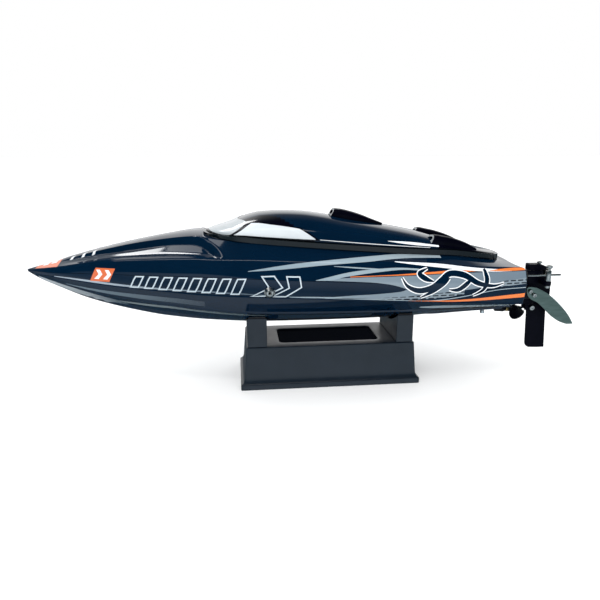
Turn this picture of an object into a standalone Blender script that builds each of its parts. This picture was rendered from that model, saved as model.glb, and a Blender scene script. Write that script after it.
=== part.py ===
"""Deep-vee radio-controlled racing boat on its moulded display stand.

Bow toward -X, stern toward +X, +Z up, the table at Z = 0 and the keel in the plane Y = 0.
Lengths below are millimetres; MM turns them into Blender's metres. A station is the distance
aft of the bow tip, and AFT(station) is the same place on the X axis.
"""
import math

import bmesh
import bpy
import numpy as np
from mathutils import Matrix, Vector

MM = 0.001
GAP = 0.3                    # clearance kept between neighbouring pieces
HULL_LENGTH = 420.0          # bow tip to transom
OVERALL_LENGTH = 479.0       # bow tip to turn-fin tip
SKIN = 1.6                   # wall of the moulded hull, deck and hatch

# Lines of the boat: (station, value) pairs, joined by smooth curves.
KEEL_Z = [(0, 104.2), (9, 98), (22, 91.3), (49, 79), (82, 68.8), (116, 61.2), (152, 56.9),
          (206, 54.4), (280, 53.9), (357, 55), (420, 55.6)]
CHINE_Y = [(0, 0.6), (15, 10), (43, 21), (80, 33), (122, 42), (147, 46), (190, 51), (230, 53),
           (300, 54), (360, 51.5), (420, 45)]
CHINE_Z = [(0, 104.6), (15, 102.8), (43, 99.9), (80, 96.4), (122, 93.2), (147, 91), (190, 89),
           (230, 87.2), (324, 81.9), (420, 74.8)]
SEAM_Y = [(0, 0.9), (20, 14), (50, 26), (85, 38), (132, 48), (180, 54.5), (230, 57.5), (300, 58),
          (360, 55.5), (420, 47)]
SEAM_Z = [(0, 105.2), (32, 106), (84, 107.3), (132, 107), (229, 103), (320, 98), (420, 93)]
SHOULDER_Y = [(0, 0.7), (34, 18.5), (85, 35.5), (125, 44), (166, 50), (230, 53), (300, 54),
              (371, 50), (420, 45.5)]
SHOULDER_Z = [(0, 105.7), (34, 111.3), (85, 119.2), (125, 120.5), (166, 119.4), (230, 117.5),
              (308, 115), (371, 109), (420, 106.6)]
SPINE_Y = [(0, 0.4), (31, 6), (59, 9), (106, 14), (148, 25), (170, 32), (200, 38), (245, 39),
           (300, 37.5), (345, 34), (375, 29.5), (395, 25), (420, 19)]
SPINE_Z = [(0, 106), (31, 114), (59, 121.8), (106, 131), (148, 135.6), (155, 134.1), (170, 132.5),
           (200, 130), (247, 125.5), (337, 118), (360, 116.4), (390, 112), (411, 108.5), (420, 107.6)]
DECK_CROWN_Z = [(0, 106.2), (10, 109), (24, 112.6), (36, 116.6), (53, 121), (87, 128.6),
                (121, 134.9), (140, 137.3), (149, 137.6), (151.6, 134.9), (158, 134.4),
                (182, 131.6), (247, 125.7), (337, 118.2), (360, 116.6), (390, 112.2),
                (411, 108.8), (420, 108.4)]
HATCH_HALF_WIDTH = [(152, 0.8), (154, 9), (159, 18), (168, 27), (182, 33), (205, 36), (245, 37),
                    (300, 35.5), (345, 32), (375, 27), (395, 22), (405, 17), (410.5, 9), (412, 0.8)]
RIM_Z = [(152, 137.4), (168, 135.7), (182, 133.9), (247, 128), (337, 120.5), (360, 118.9),
         (390, 114.5), (412, 110.9)]
CANOPY_RIDGE_Z = [(152, 140.6), (164, 142.8), (172, 145), (181, 148.2), (190, 150.6), (199, 152.2),
                  (216, 153), (233, 152.4), (251, 150.2), (275, 145.6), (300, 141), (333, 134.6),
                  (360, 127.6), (385, 120.4), (400, 116.6), (412, 114.2)]
DEADRISE_CURVE = [(0, 1.35), (120, 1.5), (193, 1.95), (324, 1.6), (420, 1.05)]

# Hatch seal between the deck's lip and the canopy.
SEAL_HALF_HEIGHT = 2.2
SEAL_WIDTH = 3.2
LIP = 4.2                    # how far the deck reaches in under the hatch edge
OPENING_FRONT = 176.0
OPENING_REAR = 388.0

# Display stand.
STAND_FRONT = 183.4
STAND_REAR = 332.9
STAND_TOP = 38.1
STAND_HALF_TOP = 31.0
STAND_HALF_FOOT = 33.2
FLANGE_HEIGHT = 8.0
FLANGE_OUT = 3.4
CRADLES = {"front": (184.6, 201.4), "rear": (316.6, 331.4)}
HORN_Y = 29.8
PAD = 1.2

# Drive line: the propeller shaft leaves the transom just above the keel.
PROP_STATION = 438.0
PROP_Z = 57.6
SHAFT_ANGLE = math.radians(5.0)
PROP_RADIUS = 14.4
BLADE_ANGLE = math.radians(22.0)  # how far the port blade hangs below level at rest
SHAFT_RADIUS = 1.5
TUBE_RADIUS = 2.4
MOTOR_REAR = 300.0           # station of the motor's output face
MOTOR_LENGTH = 46.0
MOTOR_RADIUS = 12.0
COUPLER_LENGTH = 20.0

# Steering.
PIVOT = (448.0, -22.0)       # station and Y of the rudder's pin
TILLER = (2.0, -13.0)        # tiller end from the pivot, aft and to port
TILLER_Z = 90.0
ROD_Z = 97.4
ROD_RADIUS = 0.9
SERVO_STATION = 352.0
FIN_Y = -35.0

SIDES = {"port": -1.0, "starboard": 1.0}


def aft(station):
    """X in millimetres of a station, with the whole model centred on X = 0."""
    return station - OVERALL_LENGTH / 2


def smooth(points, station):
    """Value of a line of (station, value) points at a station, by monotone cubic pieces."""
    xs = [p[0] for p in points]
    ys = [p[1] for p in points]
    station = min(max(station, xs[0]), xs[-1])
    slopes = [(ys[i + 1] - ys[i]) / (xs[i + 1] - xs[i]) for i in range(len(xs) - 1)]
    tangents = [slopes[0]]
    for a, b in zip(slopes, slopes[1:]):
        tangents.append(0.0 if a * b <= 0 else 2 * a * b / (a + b))
    tangents.append(slopes[-1])
    i = min(max(int(np.searchsorted(xs, station)) - 1, 0), len(slopes) - 1)
    h = xs[i + 1] - xs[i]
    t = (station - xs[i]) / h
    a = (1 + 2 * t) * (1 - t) ** 2 * ys[i] + t * (1 - t) ** 2 * h * tangents[i]
    b = t * t * (3 - 2 * t) * ys[i + 1] + t * t * (t - 1) * h * tangents[i + 1]
    return a + b


# ---------------------------------------------------------------- scene and material helpers

def clear_scene():
    for obj in list(bpy.data.objects):
        bpy.data.objects.remove(obj, do_unlink=True)


def new_collection(name):
    collection = bpy.data.collections.new(name)
    bpy.context.scene.collection.children.link(collection)
    return collection


def material(name, colour, roughness, metallic=0.0):
    mat = bpy.data.materials.get(name)
    if mat:
        return mat
    mat = bpy.data.materials.new(name)
    mat.use_nodes = True
    shader = mat.node_tree.nodes["Principled BSDF"]
    shader.inputs["Base Color"].default_value = (*colour, 1.0)
    shader.inputs["Roughness"].default_value = roughness
    shader.inputs["Metallic"].default_value = metallic
    mat.diffuse_color = (*colour, 1.0)
    return mat


def navy_gloss():
    return material("navy_gloss", (0.012, 0.025, 0.055), 0.12)


def black_gloss():
    return material("black_gloss", (0.008, 0.008, 0.012), 0.15)


def black_plastic():
    return material("black_plastic", (0.015, 0.016, 0.018), 0.45)


def stand_plastic():
    return material("stand_plastic", (0.04, 0.05, 0.065), 0.4)


def silver_film():
    return material("silver_film", (0.72, 0.75, 0.78), 0.25)


def steel():
    return material("steel", (0.55, 0.56, 0.55), 0.3, 1.0)


def aluminium():
    return material("aluminium", (0.7, 0.71, 0.72), 0.35, 1.0)


def brass():
    return material("brass", (0.75, 0.55, 0.25), 0.3, 1.0)


def rubber():
    return material("rubber", (0.02, 0.02, 0.02), 0.8)


def silicone():
    return material("silicone", (0.35, 0.5, 0.6), 0.4)


def foam():
    return material("foam", (0.03, 0.03, 0.035), 0.95)


def battery_wrap():
    return material("battery_wrap", (0.05, 0.09, 0.28), 0.4)


def red_sleeve():
    return material("red_sleeve", (0.5, 0.02, 0.02), 0.5)


def webbing():
    return material("webbing", (0.02, 0.02, 0.022), 0.9)


# ---------------------------------------------------------------- shape helpers

def link(obj, mat, cutter=False):
    (CUTTERS if cutter else BOAT).objects.link(obj)
    if cutter:
        obj.hide_render = True
        obj.display_type = "WIRE"
    if mat:
        obj.data.materials.append(mat)
    return obj


def mesh_object(name, bm, mat, cutter=False, smooth_angle=None):
    bmesh.ops.recalc_face_normals(bm, faces=bm.faces)
    mesh = bpy.data.meshes.new(name)
    bm.to_mesh(mesh)
    bm.free()
    if smooth_angle is not None:
        mesh.shade_smooth()
        mesh.set_sharp_from_angle(angle=math.radians(smooth_angle))
    return link(bpy.data.objects.new(name, mesh), mat, cutter)


def loft(name, sections, mat, cutter=False):
    """Closed solid through closed sections, each a list of the same number of (x, y, z) in mm."""
    bm = bmesh.new()
    rings = [[bm.verts.new(Vector(p) * MM) for p in section] for section in sections]
    count = len(rings[0])
    for a, b in zip(rings, rings[1:]):
        for i in range(count):
            j = (i + 1) % count
            bm.faces.new((a[i], a[j], b[j], b[i]))
    bm.faces.new(rings[0])
    bm.faces.new(rings[-1][::-1])
    return mesh_object(name, bm, mat, cutter, 25)


def box(name, low, high, mat, cutter=False, bevel=0.0):
    """Box between two corners in mm, from a unit cube, with rounded edges if bevel is given."""
    size = [high[i] - low[i] for i in range(3)]
    centre = [(high[i] + low[i]) / 2 for i in range(3)]
    bm = bmesh.new()
    bmesh.ops.create_cube(bm, size=1.0)
    bmesh.ops.scale(bm, vec=Vector(size) * MM, verts=bm.verts)
    obj = mesh_object(name, bm, mat, cutter)
    obj.location = Vector(centre) * MM
    if bevel:
        round_edges(obj, bevel)
    return obj


def round_edges(obj, width, segments=2):
    mod = obj.modifiers.new("rounded", "BEVEL")
    mod.width = width * MM
    mod.segments = segments
    mod.limit_method = "ANGLE"
    return mod


def rod(name, start, end, radius, mat, cutter=False, sides=20, radius_end=None):
    """Cylinder or cone from start to end in mm."""
    start = Vector(start)
    end = Vector(end)
    bm = bmesh.new()
    bmesh.ops.create_cone(bm, cap_ends=True, segments=sides, radius1=radius * MM,
                          radius2=(radius if radius_end is None else radius_end) * MM,
                          depth=(end - start).length * MM)
    obj = mesh_object(name, bm, mat, cutter, 40)
    obj.rotation_mode = "QUATERNION"
    obj.rotation_quaternion = (end - start).to_track_quat("Z", "Y")
    obj.location = (start + end) / 2 * MM
    return obj


def turned(name, profile, origin, direction, mat, cutter=False, sides=24):
    """Turned piece: (radius, height) pairs in mm from top to bottom, about direction at origin."""
    bm = bmesh.new()
    verts = [bm.verts.new((r * MM, 0.0, h * MM)) for r, h in profile]
    for a, b in zip(verts, verts[1:]):
        bm.edges.new((a, b))
    mesh = bpy.data.meshes.new(name)
    bm.to_mesh(mesh)
    bm.free()
    obj = link(bpy.data.objects.new(name, mesh), mat, cutter)
    screw = obj.modifiers.new("turned", "SCREW")
    screw.steps = sides
    screw.render_steps = sides
    screw.use_merge_vertices = True
    screw.merge_threshold = 0.00001
    screw.use_smooth_shade = True
    obj.rotation_mode = "QUATERNION"
    obj.rotation_quaternion = Vector(direction).to_track_quat("Z", "Y")
    obj.location = Vector(origin) * MM
    return obj


def plate(name, outline, thickness, mat, plane="XZ", at=0.0, cutter=False):
    """Flat piece with an outline in mm. plane XZ is centred on Y = at, YZ on X = at, XY on Z = at."""
    axes = {"XZ": lambda u, v, w: (u, w, v), "YZ": lambda u, v, w: (w, u, v),
            "XY": lambda u, v, w: (u, v, w)}[plane]
    low = at - thickness / 2
    high = at + thickness / 2
    sections = [[axes(u, v, w) for u, v in outline] for w in (low, high)]
    return loft(name, sections, mat, cutter)


def tube(name, route, radius, mat, resolution=2):
    """Round hose or wire along a hand-chosen route in mm, smoothed by a Catmull-Rom curve."""
    points = [Vector(p) for p in route]
    dense = []
    for i in range(len(points) - 1):
        a = points[max(i - 1, 0)]
        b = points[i]
        c = points[i + 1]
        d = points[min(i + 2, len(points) - 1)]
        for k in range(4):
            t = k / 4
            dense.append(0.5 * (2 * b + (c - a) * t + (2 * a - 5 * b + 4 * c - d) * t * t
                                + (3 * b - a - 3 * c + d) * t ** 3))
    dense.append(points[-1])
    curve = bpy.data.curves.new(name, "CURVE")
    curve.dimensions = "3D"
    curve.bevel_depth = radius * MM
    curve.bevel_resolution = resolution
    curve.use_fill_caps = True
    spline = curve.splines.new("POLY")
    spline.points.add(len(dense) - 1)
    for point, place in zip(spline.points, dense):
        point.co = (*(place * MM), 1.0)
    return link(bpy.data.objects.new(name, curve), mat)


def boolean(obj, other, operation="DIFFERENCE"):
    mod = obj.modifiers.new(operation.lower(), "BOOLEAN")
    mod.operation = operation
    mod.object = other
    mod.solver = "EXACT"
    return obj


def cut(obj, *cutters):
    for cutter in cutters:
        boolean(obj, cutter)
    return obj


def fuse(obj, *others):
    """Joins other solids to obj; each of them has been made as a cutter."""
    for other in others:
        boolean(obj, other, "UNION")
    return obj


def empty(name, place):
    obj = bpy.data.objects.new(name, None)
    obj.location = Vector(place) * MM
    obj.empty_display_size = 0.01
    BOAT.objects.link(obj)
    return obj


def hang(parent, *children):
    """Parents pieces to an empty on their joint's axis, keeping them where they are."""
    bpy.context.view_layer.update()
    for child in children:
        child.parent = parent
        child.matrix_parent_inverse = parent.matrix_world.inverted()


# ---------------------------------------------------------------- hull and deck

def inset(section, thickness):
    """Moves an open port-to-starboard (y, z) line toward its inner side by thickness."""
    moved = []
    last = len(section) - 1
    for i, (y, z) in enumerate(section):
        before = Vector(section[max(i - 1, 0)])
        after = Vector(section[min(i + 1, last)])
        here = Vector((y, z))
        normals = []
        for a, b in ((before, here), (here, after)):
            along = b - a
            if along.length > 1e-9:
                normals.append(Vector((-along.y, along.x)).normalized())
        normal = sum(normals, Vector((0, 0))).normalized()
        reach = thickness / max(normal.dot(normals[0]), 0.45)
        moved.append((y + normal.x * reach, z + normal.y * reach))
    return moved


def bottom_z(station, y):
    """Height of the hull's bottom at distance y from the keel plane, inside the chine."""
    keel = smooth(KEEL_Z, station)
    chine = smooth(CHINE_Z, station)
    part = min(abs(y) / smooth(CHINE_Y, station), 1.0)
    return keel + (chine - keel) * part ** smooth(DEADRISE_CURVE, station)


def hull_line(station):
    """Port-to-starboard line of the hull below the seam, running port seam, keel, starboard seam."""
    chine_y = smooth(CHINE_Y, station)
    half = [(0.0, smooth(KEEL_Z, station))]
    for part in (0.25, 0.5, 0.75, 1.0):
        half.append((chine_y * part, bottom_z(station, chine_y * part)))
    seam_y = smooth(SEAM_Y, station)
    seam_z = smooth(SEAM_Z, station)
    chine_z = smooth(CHINE_Z, station)
    half.append((chine_y + (seam_y - chine_y) * 0.75, chine_z + (seam_z - chine_z) * 0.5))
    half.append((seam_y, seam_z))
    port = [(-y, z) for y, z in half[1:]][::-1]
    return port + half


def deck_line(station):
    """Starboard-to-port line of the deck above the seam, so that its inner side is below it."""
    seam = (smooth(SEAM_Y, station), smooth(SEAM_Z, station))
    shoulder = (smooth(SHOULDER_Y, station), smooth(SHOULDER_Z, station))
    spine = (smooth(SPINE_Y, station), smooth(SPINE_Z, station))
    crown = smooth(DECK_CROWN_Z, station)
    hollow = recess_depth(station)
    half = [seam, ((seam[0] * 0.45 + shoulder[0] * 0.55) + 0.3, seam[1] * 0.5 + shoulder[1] * 0.5),
            shoulder]
    for part in (0.3, 0.6, 0.85):
        y = shoulder[0] + (spine[0] - shoulder[0]) * part
        z = shoulder[1] + (spine[1] - shoulder[1]) * part
        half.append((y, z - hollow * math.sin(math.pi * part ** 1.6)))
    half.append(spine)
    half.append((spine[0] * 0.5, crown - (crown - spine[1]) * 0.25))
    half.append((0.0, crown))
    port = [(-y, z) for y, z in half[:-1]][::-1]
    return half + port


def recess_depth(station):
    """Depth of the hollow swept into each side of the foredeck, fading out before the canopy."""
    start = 26.0
    end = 172.0
    if not start < station < end:
        return 0.0
    part = (station - start) / (end - start)
    return 4.2 * math.sin(math.pi * part ** 1.3) ** 0.8


def stations(first, last, count, ease=1.0):
    return [first + (last - first) * (i / (count - 1)) ** ease for i in range(count)]


def at_station(station, line):
    return [(aft(station), y, z) for y, z in line]


def hull_shell():
    """Bottom, topsides and transom in one moulding, open at the seam."""
    outer = [at_station(s, hull_line(s)) for s in stations(0, HULL_LENGTH, 24, 1.25)]
    hull = loft("hull_shell", outer, navy_gloss())
    inner = []
    for s in stations(14, HULL_LENGTH - 2.2, 20, 1.15):
        line = inset(hull_line(s), SKIN)
        wall = [(line[0][0], line[0][1] + 5)] + line[1:-1] + [(line[-1][0], line[-1][1] + 5)]
        inner.append(at_station(s, wall))
    cut(hull, loft("hull_inside", inner, None, True), transom_tube_bore(), *outlet_bore())
    return hull


def transom_tube_bore():
    start = shaft_point(400.0)
    end = shaft_point(426.0)
    return rod("tube_bore", start, end, TUBE_RADIUS + GAP, None, True)


def outlet_bore():
    return [rod("outlet_bore", (aft(203), -60, 94), (aft(203), -40, 94), 2.3, None, True, 16),
            rod("pickup_bore", (aft(405), -7, 45), (aft(405), -7, 70), 1.6, None, True, 12)]


def deck_shell():
    """Foredeck, side decks and the lip under the hatch, with its upper part of the transom."""
    def lifted(line):
        return [(line[0][0], line[0][1] + GAP)] + line[1:-1] + [(line[-1][0], line[-1][1] + GAP)]
    marks = stations(0, 143, 12, 1.15) + [149, 151.6, 158, 170, 182, 198, 222, 247, 275, 305, 337, 360, 380,
                                          398, 411, 420]
    deck = loft("deck_shell", [at_station(s, lifted(deck_line(s))) for s in marks], navy_gloss())
    inner = []
    for s in stations(16, 152, 9) + [160, 172, 184, 200, 224, 250, 280, 310, 337, 360, 380, 398,
                                     410, HULL_LENGTH - 2.2]:
        line = inset(deck_line(s), SKIN)
        wall = [(line[0][0], line[0][1] - 5)] + line[1:-1] + [(line[-1][0], line[-1][1] - 5)]
        inner.append(at_station(s, wall))
    cut(deck, loft("deck_inside", inner, None, True), hatch_opening_cutter(), rod_slot_cutter())
    return deck


def hatch_outline(outset=0.0, first=152.0, last=412.0, count=30):
    """Plan outline of the hatch, port side forward to aft and back along starboard."""
    marks = [first + (last - first) * (1 - math.cos(math.pi * i / (count - 1))) / 2
             for i in range(count)]
    half = [(s, max(smooth(HATCH_HALF_WIDTH, s) + outset, 0.5)) for s in marks]
    port = [(aft(s), -w, s) for s, w in half]
    starboard = [(aft(s), w, s) for s, w in reversed(half)]
    return port + starboard


def hatch_opening_cutter():
    outline = hatch_outline(-LIP, OPENING_FRONT, OPENING_REAR, 20)
    sections = [[(x, y, z) for x, y, _ in outline] for z in (95.0, 150.0)]
    return loft("hatch_opening", sections, None, True)


def rod_slot_cutter():
    """Slot in the transom for the pushrod, wide enough for its small sideways swing."""
    y = PIVOT[1] + TILLER[1]
    return box("rod_slot", (aft(415), y - 3.4, ROD_Z - 2.2), (aft(425), y + 3.4, ROD_Z + 2.2),
               None, True)


# ---------------------------------------------------------------- hatch

def canopy_line(station):
    """Starboard-to-port line over the hatch above its seal."""
    half_width = smooth(HATCH_HALF_WIDTH, station)
    base = smooth(RIM_Z, station) + SEAL_HALF_HEIGHT + GAP
    rise = max(smooth(CANOPY_RIDGE_Z, station) - base, 0.8)
    line = []
    steps = 12
    for i in range(steps + 1):
        angle = math.pi * i / steps
        side = math.copysign(abs(math.cos(angle)) ** 0.85, math.cos(angle))
        line.append((half_width * side, base + rise * math.sin(angle) ** 0.9))
    return line


def hatch_stations(first, last, count):
    return [first + (last - first) * (1 - math.cos(math.pi * i / (count - 1))) / 2
            for i in range(count)]


def canopy_shell():
    marks = hatch_stations(152, 412, 30)
    canopy = loft("canopy_shell", [at_station(s, canopy_line(s)) for s in marks], navy_gloss())
    inner = []
    for s in hatch_stations(155.5, 408.5, 26):
        line = inset(canopy_line(s), SKIN)
        wall = [(line[0][0], line[0][1] - 4)] + line[1:-1] + [(line[-1][0], line[-1][1] - 4)]
        inner.append(at_station(s, wall))
    cut(canopy, loft("canopy_inside", inner, None, True))
    return canopy


def hatch_seal():
    """Black rim that the canopy carries, resting on the deck's lip."""
    def ring(outset, rise):
        return [(x, y, smooth(RIM_Z, s) + rise) for x, y, s in hatch_outline(outset)]
    bm = bmesh.new()
    loops = [[bm.verts.new(Vector(p) * MM) for p in ring(outset, rise)]
             for outset, rise in ((0.6, -SEAL_HALF_HEIGHT + GAP), (0.6, SEAL_HALF_HEIGHT),
                                  (-SEAL_WIDTH, SEAL_HALF_HEIGHT),
                                  (-SEAL_WIDTH, -SEAL_HALF_HEIGHT + GAP))]
    count = len(loops[0])
    for k, loop in enumerate(loops):
        other = loops[(k + 1) % 4]
        for i in range(count):
            j = (i + 1) % count
            bm.faces.new((loop[i], loop[j], other[j], other[i]))
    return mesh_object("hatch_seal", bm, black_gloss(), False, 40)


def canopy_point(station, part, lift):
    """Point on the canopy: part 0 is the ridge, 1 the rim; lift is the height off the surface."""
    line = inset(canopy_line(station), -lift)
    place = 6 + part * 6
    i = min(int(place), len(line) - 2)
    t = place - i
    y = line[i][0] * (1 - t) + line[i + 1][0] * t
    z = line[i][1] * (1 - t) + line[i + 1][1] * t
    return aft(station), y, z


def film(name, lower, upper, steps, side, mat):
    """Thin panel lying on the canopy between two (station, part) lines of equal length."""
    def place(pair, lift):
        x, y, z = canopy_point(pair[0], pair[1], lift)
        return x, -y * side, z
    def between(line, t):
        k = t * (len(line) - 1)
        i = min(int(k), len(line) - 2)
        f = k - i
        return (line[i][0] * (1 - f) + line[i + 1][0] * f, line[i][1] * (1 - f) + line[i + 1][1] * f)
    sections = []
    for k in range(steps + 1):
        a = between(lower, k / steps)
        b = between(upper, k / steps)
        row = [(a[0] + (b[0] - a[0]) * j / 3, a[1] + (b[1] - a[1]) * j / 3) for j in range(4)]
        sections.append([place(p, 0.35) for p in row] + [place(p, 0.85) for p in row[::-1]])
    return loft(name, sections, mat)


def windscreen():
    front = [(160, -0.62), (155.5, -0.3), (154.5, 0.0), (155.5, 0.3), (160, 0.62)]
    back = [(183, -0.5), (188, -0.22), (190, 0.0), (188, 0.22), (183, 0.5)]
    return film("windscreen", front, back, 12, 1.0, silver_film())


def side_window(side_name, side):
    lower = [(176, 0.83), (200, 0.83), (222, 0.82), (244, 0.78)]
    upper = [(189, 0.54), (205, 0.5), (225, 0.54), (243, 0.72)]
    return film("side_window_" + side_name, lower, upper, 10, side, silver_film())


def canopy_height(station, y):
    """Height of the canopy at a distance y from its middle, from the section's own curve."""
    line = canopy_line(station)
    for (y0, z0), (y1, z1) in zip(line, line[1:]):
        if y1 <= abs(y) <= y0:
            return z1 + (z0 - z1) * (abs(y) - y1) / max(y0 - y1, 1e-6)
    return line[0][1]


def saddle(station, first, last, lift):
    """Points across the canopy from y = first to y = last, lifted off its surface."""
    steps = 4
    row = [first + (last - first) * i / steps for i in range(steps + 1)]
    return [(aft(station), y, canopy_height(station, y) + lift) for y in row]


def roof_scoop():
    """Air intake on the cabin roof: an open mouth forward, fairing down to the ridge behind."""
    sections = []
    for s, half, top, lean in ((259.5, 7.4, 154.6, 2.8), (268, 8.2, 154.0, 1.0), (278, 8.0, 151.8, 0),
                               (288, 7.2, 148.6, 0), (298, 5.2, 144.6, 0), (307, 2.0, 141.2, 0)):
        floor = saddle(s, half, -half, 0.5)
        shoulder = floor[0][2] * 0.4 + top * 0.6
        sections.append([(aft(s + lean * 0.6), -half * 0.94, shoulder), (aft(s + lean), -half * 0.6, top),
                         (aft(s + lean), half * 0.6, top), (aft(s + lean * 0.6), half * 0.94, shoulder)]
                        + floor)
    scoop = loft("roof_scoop", sections, black_gloss())
    mouth = box("scoop_mouth", (aft(255), -5.0, canopy_height(260, 0) + 1.6),
                (aft(271), 5.0, 152.6), None, True)
    return cut(scoop, mouth)


def rear_pod(side_name, side):
    """One of the two air ducts aft of the cabin, with a hollow front and a slanted rear face."""
    sections = []
    for s, inner, outer, top, lean in ((343.5, 18.0, 30.0, 133.2, 2.4), (348, 17.6, 29.8, 133.4, 1.2),
                                       (355, 16.8, 28.8, 132.3, 0), (363, 16.0, 27.4, 130.6, 0),
                                       (372, 15.2, 25.6, 127.9, 0), (380, 15.0, 23.8, 124.6, 0),
                                       (388, 14.8, 21.6, 120.2, 0)):
        floor = [(x, y * side, z) for x, y, z in saddle(s, outer, inner, 0.5)]
        shoulder = floor[0][2] * 0.35 + top * 0.65
        x = aft(s + lean)
        ridge = [(x, (inner + 0.4) * side, top - 0.6), (x, (inner + 2.4) * side, top),
                 (x, (outer - 3.4) * side, top), (aft(s + lean / 2), (outer - 0.8) * side, shoulder)]
        sections.append(floor + ridge)
    pod = loft("rear_pod_" + side_name, sections, black_gloss())
    mouth = box("pod_mouth_" + side_name, (aft(339), min(20.4 * side, 26.6 * side), 129.0),
                (aft(353), max(20.4 * side, 26.6 * side), 131.4), None, True)
    return cut(pod, mouth)


def hatch_magnets():
    """Two disc magnets in the hatch and two steel discs glued under the deck's lip."""
    for end, station in (("front", 165.0), ("rear", 399.0)):
        deck = smooth(DECK_CROWN_Z, station)
        rod("hatch_magnet_" + end, (aft(station), 0, deck + 0.8), (aft(station), 0, deck + 3.6),
            3.0, steel(), False, 16)
        rod("deck_magnet_" + end, (aft(station), 0, deck - SKIN - 3.4),
            (aft(station), 0, deck - SKIN - 1.4), 3.0, steel(), False, 16)


# ---------------------------------------------------------------- stand

def stand_base():
    """Open-bottomed box with a flange at the table and a rounded slot in its top shelf."""
    wall = 2.4
    def ring(grow, z, out=0.0):
        low = aft(STAND_FRONT) - grow
        high = aft(STAND_REAR) + grow
        half = STAND_HALF_TOP + out + (STAND_TOP - z) / STAND_TOP * (STAND_HALF_FOOT - STAND_HALF_TOP)
        return [(low, -half, z), (high, -half, z), (high, half, z), (low, half, z)]
    draft = 2.2
    sections = [ring(FLANGE_OUT + draft, 0.0, FLANGE_OUT - 1.6), ring(FLANGE_OUT + draft, FLANGE_HEIGHT - 3,
                FLANGE_OUT - 1.6), ring(draft, FLANGE_HEIGHT), ring(0.0, STAND_TOP)]
    base = loft("stand_base", sections, stand_plastic())
    hollow = loft("stand_hollow", [ring(draft - wall, -1.0, -wall), ring(-wall, STAND_TOP - wall, -wall)],
                  None, True)
    slot = box("shelf_slot", (aft(213), -19.5, 30), (aft(303), 19.5, 45), None, True, 0)
    round_edges(slot, 4.0, 3)
    return cut(base, hollow, slot)


def notch_line(first, last, clearance):
    """Vee that clears the hull's bottom between two stations, as (y, z) points."""
    points = []
    for i in range(-5, 6):
        y = HORN_Y * i / 5
        low = min(bottom_z(s, y) for s in (first, (first + last) / 2, last))
        points.append((y, low - clearance))
    return points


def cradle(end, first, last):
    """Upright block with a vee notch that carries the hull on two foam pads."""
    clearance = PAD + 2 * GAP
    notch = notch_line(first, last, clearance)
    foot = STAND_TOP + GAP
    outline = [(-HORN_Y - 0.9, foot), (HORN_Y + 0.9, foot)]
    outline += [(HORN_Y + 0.6, notch[-1][1] + 0.2)] + notch[::-1] + [(-HORN_Y - 0.6, notch[0][1] + 0.2)]
    return plate("cradle_" + end, outline, last - first, stand_plastic(), "YZ",
                 aft((first + last) / 2))


def cradle_pads(end, first, last):
    for side_name, side in SIDES.items():
        upper = [(y * side, z) for y, z in notch_line(first, last, GAP) if y >= HORN_Y * 0.19]
        lower = [(y * side, z) for y, z in notch_line(first, last, GAP + PAD) if y >= HORN_Y * 0.19]
        plate("cradle_pad_%s_%s" % (end, side_name), upper + lower[::-1], last - first - 2.0, foam(),
              "YZ", aft((first + last) / 2))


# ---------------------------------------------------------------- drive line

def shaft_point(station):
    """Point of the propeller shaft's axis at a station."""
    return aft(station), 0.0, PROP_Z + (PROP_STATION - station) * math.tan(SHAFT_ANGLE)


def shaft_direction():
    return Vector(shaft_point(PROP_STATION)) - Vector(shaft_point(PROP_STATION - 100))


def prop_strut():
    """Housing on the transom that carries the end of the stuffing tube."""
    strut = box("prop_strut", (aft(HULL_LENGTH) + GAP, -5.0, 57.4), (aft(423.4), 5.0, 72.0),
                black_plastic(), False, 0.6)
    barrel = rod("strut_barrel", shaft_point(421.0), shaft_point(430.4), 4.0, None, True)
    bore = rod("strut_bore", shaft_point(412.0), shaft_point(436.0), TUBE_RADIUS + GAP, None, True)
    return cut(fuse(strut, barrel), bore)


def stuffing_tube():
    tube_body = rod("stuffing_tube", shaft_point(330.0), shaft_point(430.0), TUBE_RADIUS, brass())
    bore = rod("stuffing_bore", shaft_point(328.0), shaft_point(432.0), SHAFT_RADIUS + GAP, None, True)
    return cut(tube_body, bore)


def prop_shaft():
    return rod("prop_shaft", shaft_point(308.0), shaft_point(447.6), SHAFT_RADIUS, steel())


def shaft_coupler():
    coupler = rod("shaft_coupler", shaft_point(303.6), shaft_point(303.6 + COUPLER_LENGTH), 4.6,
                  aluminium())
    bores = (rod("coupler_bore_aft", shaft_point(307.7), shaft_point(330.0), SHAFT_RADIUS + GAP,
                 None, True),
             rod("coupler_bore_front", shaft_point(295.0), shaft_point(307.3), SHAFT_RADIUS + GAP,
                 None, True))
    return cut(coupler, *bores)


def motor_output_shaft():
    return rod("motor_output_shaft", shaft_point(MOTOR_REAR - 12), shaft_point(307.0), SHAFT_RADIUS,
               steel())


def drive_dog():
    dog = rod("drive_dog", shaft_point(431.0), shaft_point(433.7), 3.4, brass())
    return cut(dog, rod("dog_bore", shaft_point(429.0), shaft_point(436.0), SHAFT_RADIUS + GAP, None,
                        True))


def propeller():
    """Two-bladed racing propeller: a hub and two wide, twisted blades."""
    hub = rod("propeller", shaft_point(434.0), shaft_point(442.4), 3.4, black_plastic(), False, 20)
    blades = [propeller_blade(k) for k in range(2)]
    bore = rod("propeller_bore", shaft_point(430.0), shaft_point(446.0), SHAFT_RADIUS + GAP, None, True)
    return cut(fuse(hub, *blades), bore)


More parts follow.
